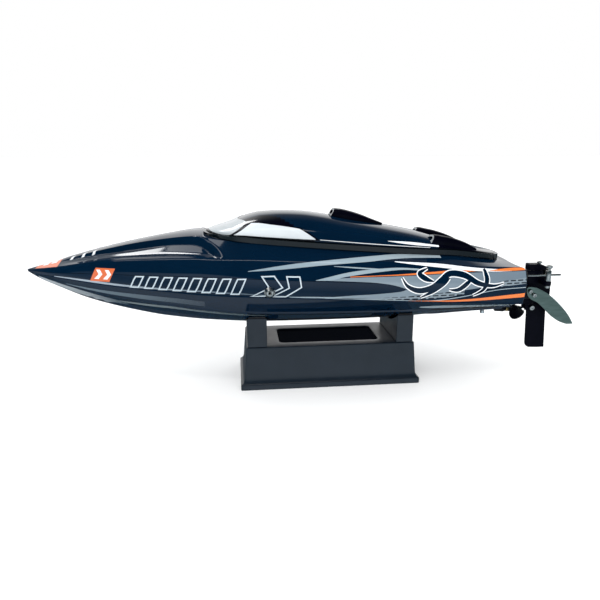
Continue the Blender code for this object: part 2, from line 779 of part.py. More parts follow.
def propeller_blade(index):
    """Blade lofted outward from the hub; its pitch falls toward the tip."""
    sections = []
    for r, chord, pitch, sweep in ((2.4, 7.4, 64, 0.2), (5.5, 12.0, 57, 0.8), (9.0, 14.0, 50, 1.4),
                                   (12.0, 12.0, 45, 1.6), (PROP_RADIUS, 5.6, 42, 1.6)):
        angle = -math.radians(pitch)
        along = Vector((math.sin(angle), 0, math.cos(angle)))
        across = Vector((math.cos(angle), 0, -math.sin(angle)))
        ring = []
        for u, v in ((-0.5, 0.0), (-0.25, 0.4), (0.25, 0.4), (0.5, 0.0), (0.25, -0.4), (-0.25, -0.4)):
            p = along * (u * chord) + across * v
            ring.append((p.x + sweep, r, p.z))
        sections.append(ring)
    blade = loft("blade_%d" % index, sections, None, True)
    turn = Matrix.Rotation(math.pi * (index + 1) + BLADE_ANGLE, 4, "X")
    tilt = Matrix.Rotation(SHAFT_ANGLE, 4, "Y")
    place = Matrix.Translation(Vector(shaft_point(PROP_STATION)) * MM)
    blade.matrix_world = place @ tilt @ turn
    return blade


def prop_nut():
    nut = rod("prop_nut", shaft_point(442.7), shaft_point(446.6), 2.9, steel(), False, 6)
    return cut(nut, rod("nut_bore", shaft_point(440.0), shaft_point(449.0), SHAFT_RADIUS + GAP, None,
                        True))


def motor():
    can = rod("motor_can", shaft_point(MOTOR_REAR - MOTOR_LENGTH), shaft_point(MOTOR_REAR),
              MOTOR_RADIUS, aluminium(), False, 28)
    nose = rod("motor_nose", shaft_point(MOTOR_REAR - 1), shaft_point(MOTOR_REAR + 2.2), 5.0, None,
               True)
    bore = rod("motor_bore", shaft_point(MOTOR_REAR - 14), shaft_point(MOTOR_REAR + 6),
               SHAFT_RADIUS + GAP, None, True)
    return cut(fuse(can, nose), bore)


def cooling_jacket():
    start = MOTOR_REAR - MOTOR_LENGTH + 8
    jacket = rod("cooling_jacket", shaft_point(start), shaft_point(start + 26), MOTOR_RADIUS + 2.0,
                 aluminium(), False, 28)
    bore = rod("jacket_bore", shaft_point(start - 4), shaft_point(start + 30), MOTOR_RADIUS + GAP,
               None, True, 28)
    return cut(jacket, bore)


def motor_mount():
    """Angle bracket behind the motor, standing on the hull's floor."""
    x = aft(MOTOR_REAR) + 2.0
    centre = shaft_point(MOTOR_REAR + 2.0)
    outline = [(-7, 60.6), (7, 60.6), (17, 66), (17, centre[2] + 8), (8, centre[2] + 17),
               (-8, centre[2] + 17), (-17, centre[2] + 8), (-17, 66)]
    mount = plate("motor_mount", outline, 2.4, aluminium(), "YZ", x + 0.8)
    bore = rod("mount_bore", shaft_point(MOTOR_REAR - 8), shaft_point(MOTOR_REAR + 12), 5.3, None, True)
    return cut(mount, bore)


# ---------------------------------------------------------------- steering

def rudder_bracket():
    """Plate on the transom with two lugs that hold the rudder's pin."""
    px, py = aft(PIVOT[0]), PIVOT[1]
    bracket = box("rudder_bracket", (aft(HULL_LENGTH) + GAP, py - 7, 66), (aft(423.2), py + 8, 103),
                  black_plastic(), False, 0.8)
    lugs = []
    for k, (low, high) in enumerate(((69.0, 73.6), (95.2, 99.4))):
        arm = box("lug_arm_%d" % k, (aft(422.5), py - 4.2, low), (px, py + 4.2, high), None, True)
        end = rod("lug_end_%d" % k, (px, py, low), (px, py, high), 4.2, None, True, 20)
        lugs += [arm, end]
    bore = rod("bracket_pin_bore", (px, py, 60), (px, py, 110), 1.5 + GAP, None, True, 16)
    return cut(fuse(bracket, *lugs), bore)


def rudder_pin():
    px, py = aft(PIVOT[0]), PIVOT[1]
    profile = [(0, 107.2), (2.4, 107.2), (2.4, 105.9), (1.5, 105.9), (1.5, 65.5), (0, 65.5)]
    return turned("rudder_pin", profile, (px, py, 0), (0, 0, 1), steel(), False, 16)


def rudder_holder():
    """Comb-shaped holder that turns on the pin, with the tiller arm reaching to port."""
    px, py = aft(PIVOT[0]), PIVOT[1]
    outline = [(aft(437), 63), (aft(456.4), 63), (aft(458.6), 70), (aft(457.8), 98), (aft(452.5), 103),
               (aft(446.5), 105.4), (aft(437), 105.4)]
    holder = plate("rudder_holder", outline, 8.0, black_plastic(), "XZ", py)
    arm_end = (px + TILLER[0], py + TILLER[1])
    arm = box("tiller_arm", (arm_end[0] - 3.2, arm_end[1], TILLER_Z - 1.5),
              (arm_end[0] + 3.2, py, TILLER_Z + 1.5), None, True)
    tip = rod("tiller_tip", (*arm_end, TILLER_Z - 1.5), (*arm_end, TILLER_Z + 1.5), 3.2, None, True)
    fuse(holder, arm, tip)
    gaps = [box("holder_gap_%d" % k, (aft(430), py - 8, low - 0.5), (px + 5.0, py + 8, high + 0.5),
                None, True) for k, (low, high) in enumerate(((69.0, 73.6), (95.2, 99.4)))]
    pin = rod("holder_pin_bore", (px, py, 60), (px, py, 105.6), 1.5 + GAP, None, True, 16)
    hole = rod("tiller_hole", (*arm_end, TILLER_Z - 4), (*arm_end, TILLER_Z + 4), 1.3, None, True, 16)
    clevis = box("clevis_slot", (aft(430), py - 1.8, 60), (aft(447.0), py + 1.8, 68.6), None, True)
    shear = rod("shear_bore", (aft(442.2), py - 6, 65.6), (aft(442.2), py + 6, 65.6), 1.1 + GAP, None,
                True, 12)
    return cut(holder, *gaps, pin, hole, clevis, shear)


def rudder_blade():
    """Wedge-section blade with a tab that the shear screw holds in the holder's clevis."""
    py = PIVOT[1]
    def ring(z, front, back):
        return [(aft(front), py - 0.35, z), (aft((front + back) / 2), py - 1.5, z),
                (aft(back), py - 1.5, z), (aft(back), py + 1.5, z),
                (aft((front + back) / 2), py + 1.5, z), (aft(front), py + 0.35, z)]
    rows = [(62.6, 440.0, 458.0), (45, 441.0, 459.2), (32, 441.8, 460.2), (29, 442.6, 460.4),
            (26.6, 444.4, 460.6), (25.6, 446.6, 460.7)]
    blade = loft("rudder_blade", [ring(*row) for row in rows], black_plastic())
    tab = box("blade_tab", (aft(440.4), py - 1.3, 61.0), (aft(446.4), py + 1.3, 68.2), None, True)
    bore = rod("tab_bore", (aft(442.2), py - 6, 65.6), (aft(442.2), py + 6, 65.6), 1.1 + GAP, None,
               True, 12)
    return cut(fuse(blade, tab), bore)


def shear_screw():
    py = PIVOT[1]
    profile = [(0, 7.0), (2.2, 7.0), (2.2, 4.4), (1.1, 4.4), (1.1, -5.2), (0, -5.2)]
    return turned("shear_screw", profile, (aft(442.2), py, 65.6), (0, -1, 0), steel(), False, 16)


def linkage_stopper():
    """Turned pin in the tiller's end; the pushrod runs through its cross hole."""
    x, y = aft(PIVOT[0]) + TILLER[0], PIVOT[1] + TILLER[1]
    profile = [(0, 106.0), (3.0, 106.0), (3.0, 103.4), (1.6, 103.4), (1.6, 101.6), (2.5, 101.6),
               (2.5, 92.0), (1.0, 92.0), (1.0, 88.0), (2.3, 88.0), (2.3, 85.8), (0, 85.8)]
    stopper = turned("linkage_stopper", profile, (x, y, 0), (0, 0, 1), steel(), False, 20)
    return cut(stopper, rod("stopper_bore", (x - 8, y, ROD_Z), (x + 8, y, ROD_Z), ROD_RADIUS + GAP,
                            None, True, 12))


def pushrod():
    y = PIVOT[1] + TILLER[1]
    start = SERVO_STATION + TILLER[0] + 1.6
    return rod("pushrod", (aft(start), y, ROD_Z), (aft(461.5), y, ROD_Z), ROD_RADIUS, steel(), False, 12)


def pushrod_clevis():
    """Ball-less clevis that joins the pushrod's front end to the servo's horn."""
    x, y = aft(SERVO_STATION) + TILLER[0], PIVOT[1] + TILLER[1]
    clevis = box("pushrod_clevis", (x - 3.0, y - 2.2, ROD_Z - 2.2), (x + 12, y + 2.2, ROD_Z + 2.2),
                 black_plastic(), False, 0.5)
    bore = rod("clevis_rod_bore", (x + 1.3, y, ROD_Z), (x + 20, y, ROD_Z), ROD_RADIUS + GAP, None,
               True, 12)
    pin = rod("clevis_pin_bore", (x, y, ROD_Z - 8), (x, y, ROD_Z + 8), 1.0 + GAP, None, True, 12)
    return cut(clevis, bore, pin)


def pushrod_boot():
    """Rubber bellows round the pushrod where it leaves the transom."""
    y = PIVOT[1] + TILLER[1]
    profile = [(4.2, 8.6)]
    for k in range(4):
        profile += [(5.6, 7.4 - 2 * k), (4.4, 6.4 - 2 * k)]
    profile += [(6.0, 0.6), (6.0, 0.0), (3.6, 0.0), (3.6, 8.6)]
    ring = profile + [profile[0]]
    return turned("pushrod_boot", ring, (aft(HULL_LENGTH) + GAP, y, ROD_Z), (1, 0, 0), rubber(),
                  False, 16)


def servo():
    """Steering servo beside the stuffing tube, its output shaft pointing up."""
    x, y = aft(SERVO_STATION), PIVOT[1]
    body = box("servo", (x - 6, y - 6, 74.6), (x + 17, y + 6, 93.0), black_plastic(), False, 0.6)
    ears = box("servo_ears", (x - 10.5, y - 6, 86.0), (x + 21.5, y + 6, 88.0), None, True)
    boss = rod("servo_boss", (x, y, 92), (x, y, 95.4), 5.2, None, True)
    return fuse(body, ears, boss)


def servo_horn():
    """Horn on the servo's output, parallel to the tiller so that rudder and horn turn alike."""
    x, y = aft(SERVO_STATION), PIVOT[1]
    end = (x + TILLER[0], y + TILLER[1])
    low, high = 100.4, 102.6
    horn = rod("servo_horn", (x, y, 95.8), (x, y, high), 3.4, black_plastic())
    along = Vector((TILLER[0], TILLER[1])).normalized()
    side = Vector((-along.y, along.x)) * 2.2
    outline = [(x + side.x, y + side.y), (x - side.x, y - side.y), (end[0] - side.x, end[1] - side.y),
               (end[0] + side.x, end[1] + side.y)]
    arm = plate("horn_arm", outline, high - low, None, "XY", (low + high) / 2, True)
    tip = rod("horn_tip", (*end, low), (*end, high), 2.6, None, True)
    peg = rod("horn_peg", (*end, ROD_Z - 2.0), (*end, high - 0.2), 1.0, None, True, 12)
    return fuse(horn, arm, tip, peg)


def turn_fin_bracket():
    """Arm from the transom that carries the turn fin outboard of the rudder."""
    arm = box("turn_fin_bracket", (aft(HULL_LENGTH) + GAP, FIN_Y + 0.8, 76), (aft(440.8), FIN_Y + 3.6, 87),
              black_plastic(), False, 0.5)
    foot = box("fin_arm_foot", (aft(HULL_LENGTH) + GAP, FIN_Y - 4, 75), (aft(422.8), FIN_Y + 5.4, 88),
               None, True)
    fuse(arm, foot)
    return cut(arm, *fin_bores("bracket"))


def fin_screws():
    return {"upper": (434.6, 83.2), "lower": (438.6, 79.6)}


def fin_bores(owner):
    return [rod("fin_bore_%s_%s" % (owner, name), (aft(s), FIN_Y - 6, z), (aft(s), FIN_Y + 8, z), 1.3,
                None, True, 12) for name, (s, z) in fin_screws().items()]


def turn_fin():
    """Sickle-shaped steel plate that sweeps down and aft."""
    outline = [(431, 84.5), (433.5, 87.2), (443.2, 85.0), (452.2, 80.0), (460.6, 73.2), (467.1, 67.0),
               (473.9, 59.4), (478.9, 51.6), (471.9, 51.7), (464.8, 54.4), (458.6, 58.4), (453.3, 62.6),
               (447.8, 68.2), (442.2, 73.0), (436.6, 75.2), (432.4, 79.6)]
    fin = plate("turn_fin", [(aft(s), z) for s, z in outline], 1.0, steel(), "XZ", FIN_Y)
    return cut(fin, *fin_bores("plate"))


def turn_fin_screw(name, station, z):
    profile = [(0, 2.4), (1.9, 2.2), (1.9, 0.9), (1.0, 0.9), (1.0, -4.4), (0, -4.4)]
    return turned("turn_fin_screw_" + name, profile, (aft(station), FIN_Y, z), (0, -1, 0), steel(),
                  False, 12)


# ---------------------------------------------------------------- electrics and cooling

def equipment_tray():
    """Flat tray over the keel, with a wing on each side of the motor for the electrics."""
    half = [(128, 20), (168, 27), (236, 30), (304, 41), (304, 24), (244, 24)]
    outline = [(aft(s), -y) for s, y in half] + [(aft(s), y) for s, y in half[::-1]]
    return plate("equipment_tray", outline, 1.6, black_plastic(), "XY", 75.8)


def battery():
    return box("battery", (aft(166), -17, 77.2), (aft(236), 17, 95.2), battery_wrap(), False, 1.6)


def battery_strap():
    """Hook-and-loop band round the battery and down to the tray."""
    strap = box("battery_strap", (aft(194), -19.2, 76.9), (aft(210), 19.2, 97.0), webbing(), False, 0.8)
    hollow = box("strap_hollow", (aft(190), -17.4, 70), (aft(214), 17.4, 95.6), None, True)
    return cut(strap, hollow)


def speed_controller():
    """Water-cooled electronic speed controller on the tray's port wing."""
    body = box("speed_controller", (aft(264), -41.5, 77.2), (aft(300), -25, 87.5), black_plastic(),
               False, 1.0)
    fins = [box("controller_fin_%d" % k, (aft(268), -39.4 + 4 * k, 86), (aft(296), -37.8 + 4 * k, 91),
                None, True) for k in range(4)]
    return fuse(body, *fins)


def receiver_box():
    return box("receiver_box", (aft(264), 25, 77.2), (aft(302), 41.5, 91), black_plastic(), False, 1.2)


def receiver_lid():
    return box("receiver_lid", (aft(263), 24, 91.3), (aft(303), 42.5, 93.3), silicone(), False, 0.6)


def water_outlet():
    """Nipple on the port side where the cooling water leaves."""
    nipple = turned("water_outlet", [(4.2, 5.8), (4.4, 3.2), (4.4, 2.0), (1.9, 2.0), (1.9, -8.0),
                                     (1.2, -8.0), (1.2, 5.8), (4.2, 5.8)],
                    (aft(203), -hull_side_y(203, 94) - GAP + 0.4, 94), (0, -1, 0), aluminium(), False, 16)
    return nipple


def hull_side_y(station, z):
    """Half-breadth of the topside at a height between the chine and the seam."""
    low = (smooth(CHINE_Y, station), smooth(CHINE_Z, station))
    top = (smooth(SEAM_Y, station), smooth(SEAM_Z, station))
    part = (z - low[1]) / (top[1] - low[1])
    return low[0] + (top[0] - low[0]) * min(1.0, part * 1.35)


def water_pickup():
    """Small scoop under the hull that feeds the cooling water."""
    low = bottom_z(405, 7) - GAP
    scoop = rod("water_pickup", (aft(405), -7, low - 3.2), (aft(405), -7, 66), 1.3, aluminium(), False, 12)
    lip = rod("pickup_lip", (aft(405), -7, low - 3.2), (aft(405), -7, low - 0.6), 2.0, None, True, 12)
    bore = rod("pickup_hole", (aft(405), -7, 58.5), (aft(405), -7, 68), 0.8, None, True, 12)
    return cut(fuse(scoop, lip), bore)


def hoses():
    """Silicone water hoses: pickup to jacket, and jacket to the outlet in the port side."""
    tube("water_hose_supply", [(aft(405), -7, 67.2), (aft(404), -7.5, 72), (aft(396), -9, 76),
                               (aft(370), -9.5, 77), (aft(340), -10, 78), (aft(322), -14, 78),
                               (aft(308), -20, 77), (aft(292), -20.4, 75), (aft(280), -18.6, 72.5),
                               (aft(274), -16.2, 71.2)], 1.7, silicone())
    tube("water_hose_return", [(aft(268), -16.4, 78), (aft(262), -19.5, 81), (aft(255), -24, 84),
                               (aft(246), -30, 86), (aft(232), -38, 88.5), (aft(216), -41.4, 92.4),
                               (aft(207), -43, 93.8), (aft(203), -43.8, 94)], 1.7, silicone())


def wires():
    """Leads from the battery and from the motor to the speed controller."""
    tube("battery_lead", [(aft(236.5), 6, 88), (aft(240), 5, 89), (aft(244.5), -2, 92),
                          (aft(246), -12, 93.4), (aft(250), -26, 93), (aft(256), -33, 90),
                          (aft(260), -36, 85.6), (aft(263.2), -36.4, 84)], 2.0, red_sleeve())
    tube("motor_lead", [(aft(253.2), -5, 79.6), (aft(249), -7, 80.5), (aft(246.6), -12, 81),
                        (aft(247.5), -20, 80.6), (aft(252), -27, 79.7), (aft(258), -30, 80),
                        (aft(263.4), -31, 80.4)], 2.0, red_sleeve())


def servo_mount():
    """Cross plate that the servo's ears screw to."""
    x, y = aft(SERVO_STATION), PIVOT[1]
    mount = box("servo_mount", (x - 14, y - 13, 83.4), (x + 25, y + 9, 85.7), black_plastic(), False, 0.4)
    window = box("servo_window", (x - 6.4, y - 6.4, 80), (x + 17.4, y + 6.4, 90), None, True)
    leg = box("servo_mount_leg", (x + 18.5, y - 8, 72), (x + 21, y + 6, 84), None, True)
    leg_front = box("servo_mount_leg_front", (x - 12, y - 8, 72), (x - 9.5, y + 6, 84), None, True)
    return cut(fuse(mount, leg, leg_front), window)


# ---------------------------------------------------------------- assembly

def build():
    stand_base()
    for end, (first, last) in CRADLES.items():
        cradle(end, first, last)
        cradle_pads(end, first, last)
    hull_shell()
    deck_shell()
    canopy_shell()
    hatch_seal()
    windscreen()
    roof_scoop()
    for side_name, side in SIDES.items():
        side_window(side_name, side)
        rear_pod(side_name, side)
    hatch_magnets()
    prop_strut()
    stuffing_tube()
    drive_axis = empty("driveline_axis", shaft_point(PROP_STATION))
    hang(drive_axis, prop_shaft(), shaft_coupler(), motor_output_shaft(), drive_dog(), propeller(),
         prop_nut())
    motor()
    cooling_jacket()
    motor_mount()
    rudder_bracket()
    rudder_pin()
    rudder_axis = empty("rudder_axis", (aft(PIVOT[0]), PIVOT[1], TILLER_Z))
    hang(rudder_axis, rudder_holder(), rudder_blade(), shear_screw())
    rod_axis = empty("pushrod_axis", (aft(PIVOT[0]) + TILLER[0], PIVOT[1] + TILLER[1], ROD_Z))
    hang(rod_axis, linkage_stopper(), pushrod(), pushrod_clevis())
    pushrod_boot()
    servo()
    servo_mount()
    horn_axis = empty("servo_horn_axis", (aft(SERVO_STATION), PIVOT[1], 95.8))
    hang(horn_axis, servo_horn())
    turn_fin_bracket()
    turn_fin()
    for name, (station, z) in fin_screws().items():
        turn_fin_screw(name, station, z)
    equipment_tray()
    battery()
    battery_strap()
    speed_controller()
    receiver_box()
    receiver_lid()
    water_outlet()
    water_pickup()
    hoses()
    wires()


clear_scene()
BOAT = new_collection("rc_boat")
CUTTERS = new_collection("cutters")
build()
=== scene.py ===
"""Looks of a deep-vee radio-controlled racing boat on its moulded display stand.

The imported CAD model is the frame: every piece here rides on one of its bodies. Lengths are
millimetres until MM turns them into Blender's metres. A station is the distance aft of the bow
tip, port is -Y, and the lines below are the boat's own lines as the CAD model has them.
"""
import functools
import math

import bmesh
import bpy
from mathutils import Matrix, Vector


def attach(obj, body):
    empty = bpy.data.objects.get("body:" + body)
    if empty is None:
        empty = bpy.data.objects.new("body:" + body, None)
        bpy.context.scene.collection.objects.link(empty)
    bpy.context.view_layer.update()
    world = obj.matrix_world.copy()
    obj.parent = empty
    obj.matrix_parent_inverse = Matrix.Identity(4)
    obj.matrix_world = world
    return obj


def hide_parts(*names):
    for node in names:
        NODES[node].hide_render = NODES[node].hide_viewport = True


MM = 0.001
GAP = 0.3
HULL_LENGTH = 420.0
OVERALL_LENGTH = 479.0
SKIN = 1.6

KEEL_Z = [(0, 104.2), (9, 98), (22, 91.3), (49, 79), (82, 68.8), (116, 61.2), (152, 56.9),
          (206, 54.4), (280, 53.9), (332, 54.6), (357, 55.9), (390, 56.9), (420, 57.2)]
CHINE_Y = [(0, 0.6), (15, 10), (43, 21), (80, 33), (122, 42), (147, 46), (190, 51), (230, 53),
           (300, 54), (360, 51.5), (420, 45)]
CHINE_Z = [(0, 104.6), (15, 102.8), (43, 99.9), (80, 96.4), (122, 93.2), (147, 91), (190, 89),
           (230, 87.2), (324, 81.9), (420, 74.8)]
SEAM_Y = [(0, 0.9), (20, 14), (50, 26), (85, 38), (132, 48), (180, 54.5), (230, 57.5), (300, 58),
          (360, 55.5), (420, 47)]
SEAM_Z = [(0, 105.2), (32, 106), (84, 107.3), (132, 107), (229, 103), (320, 98), (420, 93)]
SHOULDER_Y = [(0, 0.7), (34, 18.5), (85, 35.5), (125, 44), (166, 50), (230, 53), (300, 54),
              (371, 50), (420, 45.5)]
SHOULDER_Z = [(0, 105.7), (34, 111.3), (85, 119.2), (125, 120.5), (166, 119.4), (230, 117.5),
              (308, 115), (371, 109), (420, 106.6)]
SPINE_Y = [(0, 0.4), (31, 6), (59, 9), (106, 14), (148, 25), (170, 32), (200, 38), (245, 39),
           (300, 37.5), (345, 34), (375, 29.5), (395, 25), (420, 19)]
SPINE_Z = [(0, 106), (31, 114), (59, 121.8), (106, 131), (148, 135.6), (155, 134.1), (170, 132.5),
           (200, 130), (247, 125.5), (337, 118), (360, 116.4), (390, 112), (411, 108.5), (420, 107.6)]
DECK_CROWN_Z = [(0, 106.2), (10, 109), (24, 112.6), (36, 116.6), (53, 121), (87, 128.6),
                (121, 134.9), (140, 137.3), (149, 137.6), (151.6, 134.9), (158, 134.4),
                (182, 131.6), (247, 125.7), (337, 118.2), (360, 116.6), (390, 112.2),
                (411, 108.8), (420, 108.4)]
HATCH_HALF_WIDTH = [(152, 0.8), (154, 9), (159, 18), (168, 27), (182, 33), (205, 36), (245, 37),
                    (300, 35.5), (345, 32), (375, 27), (395, 22), (405, 17), (410.5, 9), (412, 0.8)]
RIM_Z = [(152, 137.4), (168, 135.7), (182, 133.9), (247, 128), (337, 120.5), (360, 118.9),
         (390, 114.5), (412, 110.9)]
CANOPY_RIDGE_Z = [(152, 138.0), (158, 139.8), (164, 141.4), (172, 143.8), (181, 147.5),
                  (190, 150.4), (199, 152.2), (216, 153), (233, 152.4), (251, 150.2),
                  (275, 145.6), (300, 141), (333, 134.6), (360, 127.6), (385, 120.4),
                  (400, 116.6), (412, 114.2)]
DEADRISE_CURVE = [(0, 1.35), (120, 1.5), (193, 1.95), (324, 1.6), (420, 1.05)]

SEAL_HALF_HEIGHT = 2.2
LIP = 4.2
HATCH_FRONT = 152.0
HATCH_REAR = 412.0
OPENING_FRONT = 176.0
OPENING_REAR = 388.0
HATCH_BLACK = 349.0        # the hatch is black aft of this station
RAIL_SHADE = (343.0, 406.0)  # stretch of the outer spray rail painted black as the shade under its step
FILM_THICKNESS = 0.06

# Bottom of the hull: spray rails at these parts of the way from the keel to the chine.
RAILS = ((0.36, [(0, 0), (34, 0), (64, 1), (158, 1), (176, 0), (340, 0), (356, 1), (420, 1)]),
         (0.70, [(0, 0), (22, 0), (48, 1), (420, 1)]))
RAIL_DROP = 1.15

# Foredeck hollow.
HOLLOW_ARCH = (139.0, 27.0)  # station where its aft end starts to curve down, and how far it runs
HOLLOW_DEPTH = [(0, 0), (24, 0), (60, 3.2), (100, 5.6), (178, 6.0), (420, 6.0)]

STAND_FRONT = 183.4
STAND_REAR = 332.9
STAND_TOP = 38.1
STAND_HALF_TOP = 31.0
STAND_HALF_FOOT = 33.2
FLANGE_HEIGHT = 8.0
CRADLES = {"front": (184.6, 201.4), "rear": (316.6, 331.4)}
HORN_Y = 29.8
PAD = 1.2

PROP_STATION = 438.0
PROP_Z = 57.6
SHAFT_ANGLE = math.radians(5.0)
SHAFT_RADIUS = 1.5
TUBE_RADIUS = 2.4
MOTOR_REAR = 300.0
MOTOR_LENGTH = 46.0
MOTOR_RADIUS = 12.0
PIVOT = (448.0, -22.0)
TILLER = (2.0, -13.0)
TILLER_Z = 90.0
ROD_Z = 97.4
ROD_RADIUS = 0.9
SERVO_STATION = 352.0
LUGS = ((69.0, 73.6), (95.2, 99.4))  # heights of the bracket's two lugs
SHEAR_PIN = (442.2, 65.6)
FIN_Y = -35.0
FIN_SCREWS = {"upper": (434.6, 83.2), "lower": (438.6, 79.6)}

SIDES = {"port": -1.0, "starboard": 1.0}

CAMERA_PLACE = (-0.06063, -0.49275, 0.20832)  # metres
CAMERA_LENS = 33.79                           # on a sensor 36 mm wide
CAMERA_DOWN = 15.42                           # degrees it looks down, and to starboard of +Y
CAMERA_ASIDE = 6.33


def aft(station):
    """X in millimetres of a station."""
    return station - OVERALL_LENGTH / 2


def ramp(value, low, high):
    """0 below low, 1 above high, with soft ends."""
    t = min(max((value - low) / (high - low), 0.0), 1.0)
    return t * t * (3 - 2 * t)


def smooth(points, station):
    """Value of a line of (station, value) points at a station, by monotone cubic pieces."""
    xs = [p[0] for p in points]
    ys = [p[1] for p in points]
    station = min(max(station, xs[0]), xs[-1])
    slopes = [(ys[i + 1] - ys[i]) / (xs[i + 1] - xs[i]) for i in range(len(xs) - 1)]
    tangents = [slopes[0]]
    for a, b in zip(slopes, slopes[1:]):
        tangents.append(0.0 if a * b <= 0 else 2 * a * b / (a + b))
    tangents.append(slopes[-1])
    i = 0
    while i < len(slopes) - 1 and station > xs[i + 1]:
        i += 1
    h = xs[i + 1] - xs[i]
    t = (station - xs[i]) / h
    a = (1 + 2 * t) * (1 - t) ** 2 * ys[i] + t * (1 - t) ** 2 * h * tangents[i]
    b = t * t * (3 - 2 * t) * ys[i + 1] + t * t * (t - 1) * h * tangents[i + 1]
    return a + b


# ---------------------------------------------------------------- sections of the boat

def bottom_parts():
    """Places across the bottom, closer together at the spray rails."""
    parts = {i / 26 for i in range(27)}
    for rail, _ in RAILS:
        parts |= {rail - 0.075, rail - 0.05, rail - 0.025, rail - 0.004, rail + 0.002, rail + 0.012,
                  rail + 0.024}
    return sorted(parts)


BOTTOM_PARTS = bottom_parts()
SIDE_STEPS = 16
CORNER_STEPS = 10
HOLLOW_STEPS = 48
CROWN_STEPS = 12
CANOPY_STEPS = 60


def bottom_z(station, y):
    """Height of the hull's plain bottom at distance y from the keel plane, inside the chine."""
    keel = smooth(KEEL_Z, station)
    chine = smooth(CHINE_Z, station)
    part = min(abs(y) / smooth(CHINE_Y, station), 1.0)
    return keel + (chine - keel) * part ** smooth(DEADRISE_CURVE, station)


@functools.lru_cache(maxsize=None)
def hull_half(station):
    """Starboard (y, z) line from the keel over the spray rails and the chine to the seam."""
    keel = smooth(KEEL_Z, station)
    chine = (smooth(CHINE_Y, station), smooth(CHINE_Z, station))
    power = smooth(DEADRISE_CURVE, station)
    line = []
    for part in BOTTOM_PARTS:
        z = keel + (chine[1] - keel) * part ** power
        for rail, share in RAILS:
            if rail - 0.075 < part < rail + 0.012:
                z -= RAIL_DROP * smooth(share, station) * min((part - rail + 0.075) / 0.07, 1.0) \
                    * (1.0 if part <= rail else 0.75)
        line.append((chine[0] * part, z))
    lip = ramp(station, 6, 40)
    line += [(chine[0] + 0.75 * lip, chine[1] - 0.3 * lip), (chine[0] + 1.0 * lip, chine[1] + 0.2 * lip),
             (chine[0] + 0.5 * lip, chine[1] + 0.9 * lip)]
    start = line[-1]
    seam = (smooth(SEAM_Y, station), smooth(SEAM_Z, station))
    for i in range(1, SIDE_STEPS + 1):
        t = i / SIDE_STEPS
        line.append((start[0] + (seam[0] - start[0]) * (1 - (1 - t) ** 2),
                     start[1] + (seam[1] - start[1]) * t))
    return line


def hollow_depth(station, part, reach):
    """Depth of the foredeck's hollow, part of the way from the shoulder to the spine.

    A flank falls from the shoulder to a crease, a flat floor runs from there to a steep wall.
    """
    start, run = HOLLOW_ARCH
    past = max(station - start, 0.0) / run
    inside = (1.0 - math.hypot(part, past)) * reach
    wall = ramp(inside, -0.2, 1.7 + 1.5 * ramp(station, 118, 142))
    flank = max(part - 0.02, 0.0) / 0.54
    flat = 1.0 - 0.22 * (part - 0.56)
    blend = min(max((flank - flat) / 0.5 + 0.5, 0.0), 1.0)
    floor = flank * (1 - blend) + flat * blend - 0.25 * blend * (1 - blend)
    floor *= smooth(HOLLOW_DEPTH, station) * ramp(part, -0.05, 0.2) * ramp(reach, 4, 14)
    bead = 0.45 * math.exp(-((inside + 0.9) / 0.7) ** 2) * ramp(station, 60, 110)
    return floor * wall - bead * ramp(part, -0.05, 0.2)


@functools.lru_cache(maxsize=None)
def deck_half(station):
    """Starboard (y, z) line from the seam over the shoulder and the spine to the middle."""
    seam = (smooth(SEAM_Y, station), smooth(SEAM_Z, station) + GAP)
    shoulder = Vector((smooth(SHOULDER_Y, station), smooth(SHOULDER_Z, station)))
    spine = Vector((smooth(SPINE_Y, station), smooth(SPINE_Z, station)))
    crown = smooth(DECK_CROWN_Z, station)
    reach = (spine - shoulder).length
    side = Vector(seam)
    corner_low = shoulder + (side - shoulder) * 0.45
    corner_high = shoulder + (spine - shoulder) * 0.16
    line = []
    for i in range(SIDE_STEPS):
        t = i / SIDE_STEPS
        p = side + (corner_low - side) * t
        line.append((p.x + 0.4 * math.sin(math.pi * t) * ramp(station, 20, 80), p.y))
    for i in range(CORNER_STEPS):
        t = i / CORNER_STEPS
        p = corner_low * (1 - t) ** 2 + shoulder * 2 * t * (1 - t) + corner_high * t * t
        line.append((p.x, p.y))
    for i in range(HOLLOW_STEPS):
        part = 0.16 + 0.84 * (i / HOLLOW_STEPS)
        p = shoulder + (spine - shoulder) * part
        line.append((p.x, p.y - hollow_depth(station, part, reach)))
    inner = inner_edge(station)
    for i in range(CROWN_STEPS):
        y = spine.x + (inner - spine.x) * i / CROWN_STEPS
        line.append((y, crown - (crown - spine.y) * (y / spine.x) ** 2))
    for i in range(CROWN_STEPS + 1):
        y = inner * (1 - i / CROWN_STEPS)
        line.append((y, crown - (crown - spine.y) * (y / spine.x) ** 2))
    return line


EDGE_INDEX = SIDE_STEPS + CORNER_STEPS + HOLLOW_STEPS + CROWN_STEPS


def inner_edge(station):
    """Half width of the hatch's opening, carried on forward and aft of it as a guide line."""
    spine = smooth(SPINE_Y, station)
    hole = smooth(HATCH_HALF_WIDTH, min(max(station, OPENING_FRONT), OPENING_REAR)) - LIP
    return min(hole, spine * 0.82)


def corner(station, y, z):
    """How far the transom's outer corners stand aft of its middle."""
    swell = 1 - 0.35 * ((z - 90) / 19) ** 2
    return 4.8 * ramp(station, 398, 420) * ramp(abs(y), 38.5, 45.5) * max(swell, 0.0)


@functools.lru_cache(maxsize=None)
def side_line(station):
    """(y, z) line up the boat's side, from the chine's lip over the seam to the spine."""
    hull = hull_half(station)[len(BOTTOM_PARTS) + 2:]
    return hull + deck_half(station)[:SIDE_STEPS + CORNER_STEPS + HOLLOW_STEPS + 1]


def rim_share(station):
    """Height of the hatch's rim as a share of its full height; it thins out under the windscreen."""
    return 0.38 + 0.62 * ramp(station, 152, 188)


